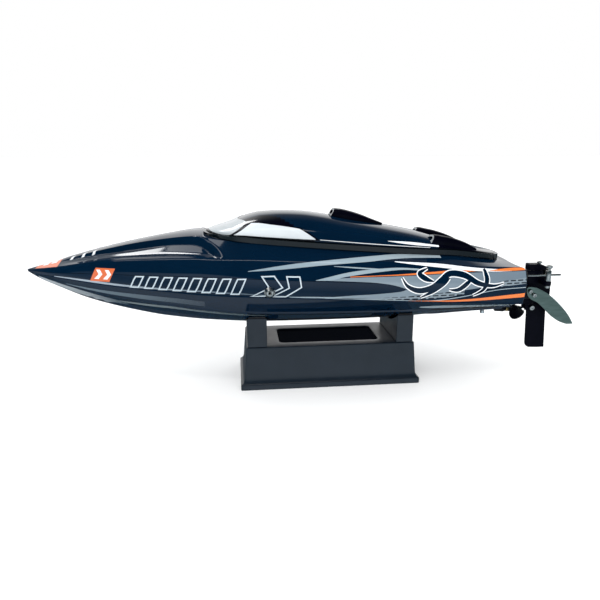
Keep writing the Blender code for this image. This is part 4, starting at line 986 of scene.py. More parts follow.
def ducts(mats):
    """Intake scoop on the roof and a pod on each rear corner of the hatch."""
    scoop = resampled([(259.5, -7.4, 7.4, 154.4, 3.4), (268, -8.2, 8.2, 153.9, 1.0),
                       (278, -8.0, 8.0, 151.8, 0), (288, -7.2, 7.2, 148.6, 0),
                       (298, -5.2, 5.2, 144.6, 0), (307, -2.0, 2.0, 141.2, 0)])
    pod = resampled([(343.5, 18.0, 30.0, 133.1, 3.0), (348, 17.6, 29.8, 133.2, 1.4),
                     (355, 16.8, 28.8, 132.1, 0), (363, 16.0, 27.4, 130.4, 0),
                     (372, 15.2, 25.6, 127.7, 0), (380, 15.0, 23.8, 124.4, 0),
                     (388, 14.8, 21.6, 120.0, 0)])
    obj = duct("roof_intake", scoop, 1.0, mats, (0.0, 151.4, 5.2, 1.7), 0.5)
    piece(obj, "hatch", "black_gloss", "roof_scoop")
    for name, side in SIDES.items():
        obj = duct("rear_duct_" + name, pod, side, mats, (23.6, 130.0, 4.0, 1.8), 0.66)
        piece(obj, "hatch", "black_gloss", "rear_pod_" + name)


# ---------------------------------------------------------------- windows and printed graphics

def line_at(points, t, curved):
    """Point of a polyline, or of a smooth curve through its points, at 0..1 of its stretches."""
    place = t * (len(points) - 1)
    i = min(int(place), len(points) - 2)
    f = place - i
    b, c = points[i], points[i + 1]
    if not curved:
        return [b[k] + (c[k] - b[k]) * f for k in range(2)]
    a = points[max(i - 1, 0)]
    d = points[min(i + 2, len(points) - 1)]
    return [0.5 * (2 * b[k] + (c[k] - a[k]) * f + (2 * a[k] - 5 * b[k] + 4 * c[k] - d[k]) * f * f
                   + (3 * b[k] - a[k] - 3 * c[k] + d[k]) * f ** 3) for k in range(2)]


def add_film(bm, lower, upper, where, side, lift, columns=24, across=3, curved=True):
    """Thin closed film on a surface, between a lower and an upper line of surface coordinates."""
    top, under = [], []
    for i in range(columns + 1):
        a = line_at(lower, i / columns, curved)
        b = line_at(upper, i / columns, curved)
        pairs = [(a[0] + (b[0] - a[0]) * j / across, a[1] + (b[1] - a[1]) * j / across)
                 for j in range(across + 1)]
        top.append([where(u, v, lift, side) for u, v in pairs])
        under.append([where(u, v, lift - FILM_THICKNESS, side) for u, v in pairs])
    rings = [row + below[::-1] for row, below in zip(top, under)]
    made = add_grid(bm, rings, wrap=True)
    bm.faces.new(made[0][::-1])
    bm.faces.new(made[-1])


def graphics(name, films, where, side, mat, body, slot, *nodes, **options):
    """One film of several parts, for print and for painted light alike; each is (lower line, upper line,
    lift).
    """
    bm = bmesh.new()
    for lower, upper, lift in films:
        add_film(bm, lower, upper, where, side, lift, **options)
    return piece(closed_mesh(name, bm, mat), body, slot, *nodes)


def printed(stem, films, mat, where=on_side, body="boat", **options):
    """The same film on both sides, for print and for painted light alike."""
    for name, side in SIDES.items():
        graphics("%s_%s" % (stem, name), films, where, side, mat, body, "navy_gloss", **options)


def band(points, width):
    """Closed outline stroke: the outline's own line and one drawn in by width."""
    count = len(points)
    inner = []
    for i in range(count):
        a, b, c = Vector(points[i - 1]), Vector(points[i]), Vector(points[(i + 1) % count])
        n1, n2 = (b - a).normalized(), (c - b).normalized()
        n1, n2 = Vector((-n1.y, n1.x)), Vector((-n2.y, n2.x))
        mitre = (n1 + n2).normalized()
        inner.append(tuple(b + mitre * (width / max(mitre.dot(n1), 0.35))))
    return list(points) + [points[0]], inner + [inner[0]]


def ribbon(spine, widths):
    """Lower and upper lines of a brush stroke along a smooth spine of (station, z)."""
    lower, upper = [], []
    steps = 8 * (len(spine) - 1)
    for i in range(steps + 1):
        t = i / steps
        p = Vector(line_at(spine, t, True))
        q = Vector(line_at(spine, min(t + 0.004, 1.0), True)) \
            - Vector(line_at(spine, max(t - 0.004, 0.0), True))
        out = Vector((-q.y, q.x)).normalized() * (line_at([(w, 0) for w in widths], t, True)[0] / 2)
        lower.append(tuple(p - out))
        upper.append(tuple(p + out))
    return lower, upper


def windows(mats):
    """Silver films on the cabin, each with a thin black edge."""
    screen_low = [(171.6, 1.0), (165, 0.99), (158.2, 0.86), (155.0, 0.5), (153.8, 0.0)]
    screen_high = [(186.4, 0.47), (184.0, 0.32), (181.4, 0.2), (179.6, 0.1), (179.0, 0.0)]
    edge_low = [(172.4, 1.0), (164.6, 1.0), (157.4, 0.9), (154.2, 0.52), (153.1, 0.0)]
    edge_high = [(187.6, 0.49), (184.8, 0.31), (182.2, 0.19), (180.4, 0.1), (179.8, 0.0)]

    def both(line):
        return line + [(s, -p) for s, p in line[-2::-1]]

    def wrapped(station, part, lift, side):
        return on_canopy(station, abs(part), lift, -1.0 if part > 0 else 1.0)

    for name, low, high, lift, mat, slot, nodes in (
            ("windscreen_edge", edge_low, edge_high, 0.1, "black", "black_gloss", ()),
            ("windscreen_film", screen_low, screen_high, 0.18, "screen", "window_film", ("windscreen",))):
        graphics(name, [(both(low), both(high), lift)], wrapped, 1.0, mats[mat], "hatch", slot, *nodes,
                 columns=64, across=14)
    side_low = [(175.2, 0.975), (198, 0.97), (221, 0.965), (242.4, 0.955)]
    side_high = [(190.2, 0.53), (206, 0.63), (229.5, 0.72), (241.6, 0.93)]
    rim_low = [(173.4, 0.995), (198, 0.99), (221, 0.985), (245.4, 0.975)]
    rim_high = [(189.4, 0.49), (206, 0.6), (230.5, 0.69), (243.6, 0.92)]
    for name, side in SIDES.items():
        graphics("side_window_edge_" + name, [(rim_low, rim_high, 0.1)], on_canopy, side, mats["black"],
                 "hatch", "black_gloss", columns=60, across=12, curved=False)
        graphics("side_window_film_" + name, [(side_low, side_high, 0.18)], on_canopy, side,
                 mats["film"], "hatch", "window_film", "side_window_" + name, columns=60, across=12,
                 curved=False)


def side_graphics(mats):
    """Streaks, panels and bars printed on both sides of the hull and deck, with films of painted highlight
    along the chine and painted reflection on the bottom.
    """
    printed("silver_streaks", [
        ([(186, 111.0), (212, 112.2), (245, 114.6), (279, 116.3), (312, 117.3), (350, 115.6)],
         [(186, 111.4), (220, 116.0), (254, 118.4), (290, 119.6), (316, 119.4), (350, 117.0)], 0.14),
        ([(240, 103.1), (253, 103.2), (265, 105.6), (287, 108.1), (310, 109.8), (326, 108.8)],
         [(240, 103.5), (261, 107.9), (276, 110.0), (295, 111.3), (310, 111.5), (326, 110.2)], 0.16),
        ([(255, 113.7), (272, 111.9), (292, 110.2)], [(255, 114.0), (272, 112.9), (292, 111.2)], 0.15),
        ([(248, 87.0), (269, 85.6), (302, 84.1), (342, 82.2), (391, 88.6), (419, 89.7)],
         [(248, 87.6), (269, 86.4), (302, 84.9), (342, 83.0), (391, 89.2), (419, 90.4)], 0.2),
        ([(219, 88.7), (232, 88.0), (250, 87.4), (262, 87.2)],
         [(219, 89.0), (232, 89.2), (250, 88.6), (262, 88.2)], 0.15),
    ], mats["streak"], columns=72, across=8)
    # Painted highlight: a light line along the chine's lip, bright at the bow and fading to dark aft.
    line = [(s, smooth(CHINE_Z, s) + rise) for s, rise in
            ((26, 0.9), (40, 0.9), (60, 1.0), (90, 1.2), (115, 1.6), (150, 3.2), (190, 2.4), (235, 1.2))]
    widths = (0.6, 1.4, 1.9, 1.8, 1.4, 1.0, 0.8, 0.6)
    printed("chine_line", [
        (line, [(s, z + w) for (s, z), w in zip(line, widths)], 0.12),
    ], mats["chine"], columns=60)
    # Painted reflection: a light grey strip on the bottom by the chine aft, standing for the floor
    # mirrored in the gloss.
    printed("painted_bottom_reflection", [
        ([(332, 0.80), (350, 0.755), (380, 0.735), (400, 0.735), (418, 0.76)],
         [(332, 0.84), (350, 0.87), (380, 0.87), (400, 0.88), (418, 0.89)], 0.12),
    ], mats["streak"], on_bottom, columns=40)
    # Painted reflection: a soft band of sheen on the bottom by the chine, fading to navy aft.
    printed("bow_sheen", [
        ([(34, 0.74), (54, 0.72), (84, 0.735), (115, 0.75), (150, 0.76)],
         [(34, 0.76), (54, 0.80), (84, 0.85), (115, 0.87), (150, 0.88)], 0.12),
    ], mats["sheen"], on_bottom, columns=40)
    # Painted reflection: a light patch low on the bow's bottom, fading to navy aft.
    printed("bow_flash", [
        ([(10, 0.25), (26, 0.20), (42, 0.24), (60, 0.34), (84, 0.40)],
         [(10, 0.72), (26, 0.62), (42, 0.60), (60, 0.56), (84, 0.50)], 0.12),
    ], mats["flash"], on_bottom, columns=40, across=8)
    # Painted reflection: a grey band of sheen along the bottom between the rails.
    printed("keel_sheen", [
        ([(66, 0.46), (84, 0.49), (104, 0.53), (123, 0.56), (150, 0.58), (181, 0.59), (204, 0.60)],
         [(66, 0.47), (84, 0.55), (104, 0.60), (123, 0.63), (150, 0.65), (181, 0.65), (204, 0.61)], 0.12),
    ], mats["low_sheen"], on_bottom, columns=40, across=4)
    printed("grey_panel", [
        ([(241, 103.2), (261, 102.2), (285, 100.6), (300, 98.6), (310, 96.0), (316, 93.6)],
         [(241, 103.6), (262, 104.6), (285, 104.8), (302, 104.8), (310, 104.9), (316, 104.9)], 0.10),
        ([(252, 87.6), (270, 86.8), (285, 86.5), (298, 86.5), (308, 86.8), (316, 87.2)],
         [(252, 88.2), (270, 89.4), (285, 90.0), (298, 90.8), (310, 91.9), (316, 93.6)], 0.10),
        ([(316, 87.2), (333, 88.7), (357, 90.4), (376, 92.0), (391, 93.5), (419, 97.6)],
         [(316, 104.9), (336, 105.0), (357, 105.1), (376, 105.0), (404, 104.4), (419, 104.2)], 0.10),
    ], mats["panel"], columns=48, across=10)
    printed("white_flash", [
        ([(306, 115.7), (341, 110.7), (374, 106.4), (395, 104.8), (408, 104.6)],
         [(306, 116.1), (342, 113.0), (374, 108.8), (396, 106.6), (408, 105.4)], 0.2),
    ], mats["white"], columns=48)
    printed("orange_stripes", [
        ([(268, 105.1), (301, 105.4), (337, 105.5), (356, 105.8), (376, 106.0)],
         [(268, 105.7), (301, 106.1), (337, 107.2), (356, 107.6), (376, 106.5)], 0.18),
        ([(389, 105.7), (400, 104.9), (410, 104.7), (419, 104.8)],
         [(389, 106.0), (400, 106.6), (410, 106.8), (419, 106.4)], 0.22),
        ([(318, 82.9), (338, 81.9), (359, 80.7), (392, 80.7), (419, 81.3)],
         [(318, 83.3), (338, 82.7), (359, 82.3), (392, 83.4), (419, 84.9)], 0.2),
    ], mats["orange"], columns=48)
    printed("tread_band", [
        ([(262, 84.9), (285, 84.3), (302, 84.7), (333, 84.4), (352, 85.6), (366, 87.6)],
         [(262, 86.2), (285, 86.5), (302, 86.9), (333, 88.0), (352, 90.2), (366, 91.6)], 0.15),
        ([(392, 91.2), (400, 91.9), (410, 92.7), (419, 93.4)],
         [(392, 95.6), (400, 96.6), (410, 97.6), (419, 98.4)], 0.15),
    ], mats["tread"], columns=36)


def bars(mats):
    """Generic slanted outlined bars, a double arrow and a tile, in the places of the printed titles."""
    outlines = []
    for k in range(8):
        s = 90.0 + 11.6 * k
        low, high = 96.3 - 0.66 * k, 107.0 - 0.19 * k
        rise = high - low
        outlines.append([(s, low), (s + 7.4, low), (s + 9.4, low + rise * 0.28), (s + 13.6, high),
                         (s + 6.2, high), (s + 4.2, low + rise * 0.72)])
    outlines.append([(187, 89.6), (199, 89.8), (214, 97.6), (207, 107.8), (196, 107.6), (202, 97.8)])
    outlines.append([(203, 89.2), (216, 89.0), (229, 97.6), (227.5, 106.9), (216, 107.3), (218, 97.6)])
    printed("outlined_bars", [(*band(outline, 1.05), 0.16) for outline in outlines], mats["silver"],
            columns=48, across=1, curved=False)
    printed("side_tile", [([(57.5, 100.9), (74.0, 100.9)], [(63.5, 112.2), (80.0, 112.2)], 0.14)],
            mats["orange"], columns=16, across=10, curved=False)
    marks = []
    for s in (61.6, 69.0):
        elbow = [(s + 4.2, 107.2), (s + 7.4, 107.2)]
        marks += [([(s, 103.0), (s + 3.6, 103.0)], elbow, 0.2),
                  (elbow, [(s + 2.4, 110.8), (s + 5.6, 110.8)], 0.2)]
    printed("side_tile_marks", marks, mats["white"], columns=6, across=8, curved=False)


def swoosh(mats):
    """Dark brush strokes with a white edge, in the place of the printed script."""
    strokes = (([(311, 103.5), (316, 96.5), (326, 92.4), (337, 94.6), (345, 100.4), (353, 105.2),
                 (366, 103.2), (378, 96.4), (392, 93.4), (402, 95.2)],
                [0.8, 2.6, 4.6, 5.2, 4.8, 4.6, 4.8, 4.0, 2.4, 0.6]),
               ([(333, 110.2), (326, 106.6), (331, 102.2), (338, 99.6)], [0.8, 3.4, 4.0, 1.0]),
               ([(328, 86.2), (338, 91.4), (347, 98.0), (352, 101.8)], [1.0, 3.4, 3.8, 1.4]),
               ([(352, 92.2), (360, 91.8), (367, 96.2), (372, 100.4)], [0.8, 3.4, 3.8, 1.2]),
               ([(374, 86.0), (383, 90.6), (386, 98.8), (384, 107.4)], [0.8, 2.8, 4.2, 2.2]))
    for label, grow, lift, mat in (("edge", 1.7, 0.24, "white"), ("ink", 0.0, 0.3, "navy")):
        films = [(*ribbon(spine, [w + grow for w in widths]), lift) for spine, widths in strokes]
        printed("swoosh_" + label, films, mats[mat], columns=72, across=4, curved=False)


def deck_graphics(mats):
    """Orange bow panel with white marks, and three white slashes on each side of the foredeck."""
    def across(station, y, lift, side):
        return on_deck(station, abs(y), lift, -1.0 if y < 0 else 1.0)

    middle = [(9.5, 0.0), (18, 0.0), (30.5, 0.0)]
    graphics("bow_panel", [([(7.5, -4.0), (18, -10.0), (29, -15.6)], middle, 0.1),
                           (middle, [(7.5, 4.0), (18, 10.0), (29, 15.6)], 0.1)],
             across, 1.0, mats["orange"], "boat", "navy_gloss", columns=24, across=12)
    marks = [([(s, 4.0 + k * 1.5), (s + 4.6, 5.0 + k * 1.5)], [(s + 1.2, 1.4), (s + 5.8, 1.4)], 0.18)
             for k, s in enumerate((14.0, 21.5))]
    printed("bow_panel_marks", marks, mats["white"], on_deck, columns=8, across=6, curved=False)
    slashes = [([(s, outer), (s + 2.4, outer)], [(s + 2.6, inner), (s + 5.0, inner)], 0.15)
               for s, outer, inner in ((37.5, 8.6, 5.2), (47.5, 9.2, 6.2), (56.5, 10.0, 7.0))]
    printed("deck_slashes", slashes, mats["white"], on_deck, columns=6, across=10, curved=False)


def hatch_graphics(mats):
    """A white streak printed low on the hatch's sides, and a thin white line just above the rim that is a
    painted highlight.
    """
    printed("hatch_streak_and_rim_highlight", [
        ([(304, 0.83), (325, 0.885), (350, 0.9)], [(304, 0.82), (325, 0.78), (350, 0.80)], 0.14),
        # Painted highlight: a thin white line just above the rim.
        ([(246, 0.955), (297, 0.965), (342, 0.965)], [(246, 0.945), (297, 0.945), (342, 0.945)], 0.14),
    ], mats["white"], on_canopy, "hatch", columns=40)


# ---------------------------------------------------------------- stand

def rounded_outline(low_u, high_u, low_v, high_v, radius, corner_steps=6):
    """Rounded rectangle as (u, v) points."""
    points = []
    for cu, cv, start in ((high_u - radius, high_v - radius, 0), (low_u + radius, high_v - radius, 90),
                          (low_u + radius, low_v + radius, 180), (high_u - radius, low_v + radius, 270)):
        for k in range(corner_steps + 1):
            a = math.radians(start + 90 * k / corner_steps)
            points.append((cu + radius * math.cos(a), cv + radius * math.sin(a)))
    return points


def rounded_loop(low_x, high_x, half_y, radius, z):
    """Level loop of a rounded rectangle centred on the middle plane."""
    return [(x, y, z) for x, y in rounded_outline(low_x, high_x, -half_y, half_y, max(radius, 0.02), 8)]


def stand_moulding(mats):
    """Open-bottomed plinth with a coved flange, a softly edged shelf and a slot through it; its inside is
    painted deep black as shade.
    """
    low, high = aft(STAND_FRONT), aft(STAND_REAR)
    wall = 2.4

    def outside(grow, out, z, radius):
        half = STAND_HALF_TOP + (STAND_TOP - z) / STAND_TOP * (STAND_HALF_FOOT - STAND_HALF_TOP)
        return rounded_loop(low - grow, high + grow, half + out, radius, z)

    def draft(z):
        return 2.2 * (STAND_TOP - z) / (STAND_TOP - FLANGE_HEIGHT)

    rings = [outside(5.6 - wall, 1.8 - wall, 0.0, 1.2), outside(5.3, 1.5, 0.0, 1.2),
             outside(5.6, 1.8, 0.3, 1.4), outside(5.6, 1.8, 2.4, 1.4), outside(5.6, 1.8, 4.3, 1.4),
             outside(5.5, 1.75, 4.75, 1.4), outside(5.2, 1.6, 5.0, 1.4), outside(4.6, 1.35, 5.25, 1.3),
             outside(3.7, 0.95, 5.9, 1.2), outside(3.0, 0.6, 6.7, 1.2), outside(2.55, 0.3, 7.7, 1.2),
             outside(2.25, 0.1, 8.8, 1.2)]
    for z in (10.5, 14, 19, 24, 29, 33, 36, 37.2):
        rings.append(outside(draft(z), 0.0, z, 1.2))
    rings += [outside(-0.03, -0.03, 37.65, 1.2), outside(-0.25, -0.2, 38.0, 1.2),
              outside(-0.65, -0.6, STAND_TOP, 1.2)]

    def hole(grow, z):
        return rounded_loop(aft(213) - grow, aft(303) + grow, 19.5 + grow, 4.0 + grow, z)

    rings += [hole(3.0, STAND_TOP), hole(0.9, STAND_TOP), hole(0.3, STAND_TOP - 0.16),
              hole(0.03, STAND_TOP - 0.6), hole(0.0, STAND_TOP - 1.2), hole(0.0, STAND_TOP - wall)]
    rings += [outside(-wall - 1.5, -wall - 1.5, STAND_TOP - wall, 1.6),
              outside(-wall - 0.4, -wall - 0.4, STAND_TOP - wall - 0.4, 1.6),
              outside(-wall, -wall, STAND_TOP - wall - 1.5, 1.6),
              outside(draft(20) - wall, -wall, 20, 1.4), outside(draft(9) - wall, -wall, 9, 1.2),
              outside(4.0 - wall, 0.6 - wall, 5.2, 1.2),
              outside(5.6 - wall, 1.8 - wall, 3.6, 1.2)]
    obj = torus_loft("display_stand", rings, mats["stand"], smooth_angle=40)
    # Painted shade: the faces inside the plinth, below the shelf, take the deep black.
    obj.data.materials.append(mats["deep"])
    for face in obj.data.polygons:
        x, y, z = face.center / MM
        inside = abs(y) < STAND_HALF_TOP - 1.2 and low + 1.2 < x < high - 1.2
        if inside and z < STAND_TOP - 0.4:
            face.material_index = 1
    piece(obj, "stand", "stand_plastic", "stand_base")


def notch_line(first, last, clearance):
    """Vee that clears the hull's bottom between two stations, as (y, z) points to starboard."""
    steps = 14
    places = [HORN_Y * i / steps for i in range(steps + 1)]
    return [(y, min(bottom_z(s, y) for s in (first, (first + last) / 2, last)) - clearance)
            for y in places]


def cradles(mats):
    """Uprights with a vee notch, and two foam pads."""
    for end, (first, last) in CRADLES.items():
        half = notch_line(first, last, PAD + 2 * GAP)
        notch = half[::-1] + [(-y, z) for y, z in half[1:]]
        foot, top = STAND_TOP + GAP, half[-1][1] + 0.2
        outline = [(-HORN_Y - 0.9, foot), (HORN_Y + 0.9, foot), (HORN_Y + 0.6, top)] + notch \
            + [(-HORN_Y - 0.6, top)]
        obj = plate("cradle_block_" + end, outline, last - first, mats["stand"], "YZ",
                    aft((first + last) / 2), edge=0.55)
        piece(obj, "stand", "stand_plastic", "cradle_" + end)
        for name, side in SIDES.items():
            line = [(y, z) for y, z in notch_line(first, last, GAP) if y >= HORN_Y * 0.19]
            under = [(y, z) for y, z in notch_line(first, last, GAP + PAD) if y >= HORN_Y * 0.19]
            rows = []
            for k in range(25):
                x = aft(first + 1.0 + (last - first - 2.0) * k / 24)
                edge = 0.25 if k in (0, 24) else 0.0
                rows.append([(x, y * side, z - edge) for y, z in line]
                            + [(x, y * side, z) for y, z in under[::-1]])
            obj = loft("foam_pad_%s_%s" % (end, name), rows, mats["foam"])
            piece(bevelled(obj, 0.3, 2, 45), "stand", "foam", "cradle_pad_%s_%s" % (end, name))


# ---------------------------------------------------------------- drive line

def screw(name, origin, direction, radius, mat, height=None):
    """Socket-head screw: a domed edge and a round recess, seated at origin."""
    height = height or radius * 1.1
    profile = [(0, -0.3), (radius, -0.3), (radius, height * 0.72), (radius * 0.9, height * 0.93),
               (radius * 0.78, height), (radius * 0.5, height), (radius * 0.44, height * 0.94),
               (radius * 0.42, height * 0.35), (0, height * 0.3)]
    return turned(name, profile, origin, direction, mat, steps=30)


def screws(stem, places, direction, radius, mat, height=None, body="boat", slot="steel"):
    """Like screws, seated at the places."""
    for k, place in enumerate(places):
        piece(screw("%s_%d" % (stem, k), place, direction, radius, mat, height), body, slot)


def shaft_rod(name, start, end, radius, mat, edge=0.3):
    """Rod on the shaft line between two stations."""
    return rod(name, shaft_point(start), shaft_point(end), radius, mat, edge=edge)


def shaft_turned(name, profile, station, *mats, steps=48, angle=32.0):
    """Turned piece on the shaft line; heights run aft from a station."""
    return turned(name, profile, shaft_point(station), shaft_way(), *mats, steps=steps, angle=angle)


def shaft_ring(name, profile, station, mat, steps=48):
    """Turned ring on the shaft line; heights run aft from a station."""
    return ring_turned(name, profile, shaft_point(station), shaft_way(), mat, steps=steps)


def driveline(mats):
    """Strut, shafts and their tube, coupler, drive dog, propeller and nut."""
    strut = box("strut_housing", (aft(HULL_LENGTH) + GAP, -5.0, 57.4), (aft(423.4), 5.0, 72.0),
                mats["plastic"])
    combine(strut, [shaft_turned("strut_barrel", [(0, 0), (4.0, 0), (4.0, 7.6), (3.4, 9.3), (0, 9.3)],
                                 421.0)], "UNION")
    combine(strut, [shaft_rod("strut_bore", 412.0, 436.0, TUBE_RADIUS + GAP, None, 0.0)])
    bevelled(strut, 0.45, 3)
    piece(strut, "boat", "black_plastic", "prop_strut")
    screws("strut_screw", [(aft(423.2), y, 70.0) for y in (-3.3, 3.3)], (1, 0, 0), 1.25, mats["steel"])
    ring = [(SHAFT_RADIUS + GAP, 0), (TUBE_RADIUS - 0.15, 0), (TUBE_RADIUS, 0.15), (TUBE_RADIUS, 99.5),
            (TUBE_RADIUS - 0.15, 99.8), (SHAFT_RADIUS + GAP, 99.8), (SHAFT_RADIUS + GAP, 50),
            (SHAFT_RADIUS + GAP, 0)]
    piece(shaft_ring("brass_tube", ring, 330, mats["brass"]), "boat", "brass", "stuffing_tube")
    piece(shaft_rod("drive_shaft", 308.0, 447.6, SHAFT_RADIUS, mats["steel"]), "driveline", "steel",
          "prop_shaft")
    piece(shaft_rod("motor_shaft", MOTOR_REAR - 12, 307.0, SHAFT_RADIUS, mats["steel"]), "driveline",
          "steel", "motor_output_shaft")
    bore = SHAFT_RADIUS + GAP
    sleeve = [(bore, 0), (4.2, 0), (4.6, 0.4), (4.6, 6.4), (3.9, 7.0), (3.9, 8.6), (4.6, 9.2),
              (4.6, 10.8), (3.9, 11.4), (3.9, 13.0), (4.6, 13.6), (4.6, 19.6), (4.2, 20), (bore, 20),
              (bore, 10), (bore, 0)]
    coupler = shaft_ring("flexible_coupler", sleeve, 303.6, mats["aluminium"])
    piece(coupler, "driveline", "aluminium", "shaft_coupler")
    screws("coupler_screw", [shaft_point(s) + Vector((0, 0, 4.4)) for s in (306.6, 320.6)], (0, 0, 1),
           1.1, mats["plastic"], 0.25, "driveline", "black_plastic")
    dog = shaft_ring("dog_drive", [(bore, 0), (3.0, 0), (3.4, 0.4), (3.4, 2.2), (3.1, 2.7), (bore, 2.7),
                                   (bore, 1.2), (bore, 0)], 431.0, mats["brass"])
    piece(dog, "driveline", "brass", "drive_dog")
    propeller(mats)
    nut = shaft_turned("lock_nut", [(2.2, 0), (2.75, 0.25), (2.9, 0.6), (2.9, 2.7), (2.75, 3.0),
                                    (2.15, 3.2), (2.05, 3.9), (1.8, 3.9)], 442.7, mats["steel"],
                       steps=6, angle=20)
    piece(bevelled(nut, 0.12, 2), "driveline", "steel", "prop_nut")


BLADE_ANGLE = math.radians(22.0)  # how far the blades are turned from level at rest
# Blade sections: radius, chord, pitch angle, thickness and sweep aft.
BLADE = ((2.6, 7.6, 64, 0.75, 0.2), (4.2, 10.2, 60, 0.7, 0.5), (6.0, 12.4, 56, 0.6, 0.9),
         (8.0, 13.7, 52, 0.52, 1.3), (10.0, 13.6, 48.5, 0.45, 1.5), (11.8, 12.2, 45.5, 0.38, 1.6),
         (13.2, 9.4, 43.5, 0.3, 1.6), (14.0, 6.6, 42.5, 0.24, 1.6), (14.4, 4.0, 42, 0.16, 1.6))


def propeller(mats):
    """Two-bladed racing propeller with cupped, thin-edged blades on a tapered hub."""
    bore = SHAFT_RADIUS + GAP
    hub = shaft_ring("two_blade_propeller", [(bore, 0), (3.1, 0), (3.4, 0.35), (3.4, 5.2), (3.2, 6.8),
                                             (2.8, 8.2), (2.5, 8.4), (bore, 8.4), (bore, 4), (bore, 0)],
                     434.0, mats["plastic"])
    blades = []
    for index in range(2):
        sections = []
        for r, chord, pitch, thick, sweep in BLADE:
            angle = -math.radians(pitch)
            heading = Vector((math.sin(angle), 0, math.cos(angle)))
            across = Vector((math.cos(angle), 0, -math.sin(angle)))
            ring = []
            for k in range(28):
                a = 2 * math.pi * k / 28
                u = math.cos(a)
                v = math.sin(a) * thick * (1 - u * u * 0.55) / 2 + 0.3 * (1 - u * u)
                p = heading * (u * chord / 2) + across * v
                ring.append((p.x + sweep, r, p.z))
            sections.append(ring)
        blade = loft("blade_%d" % index, sections)
        turn = Matrix.Rotation(math.pi * (index + 1) + BLADE_ANGLE, 4, "X")
        tilt = Matrix.Rotation(SHAFT_ANGLE, 4, "Y")
        blade.data.transform(Matrix.Translation(shaft_point(PROP_STATION) * MM) @ tilt @ turn)
        blades.append(blade)
    combine(hub, blades, "UNION")
    piece(hub, "driveline", "black_plastic", "propeller")


# ---------------------------------------------------------------- steering and turn fin

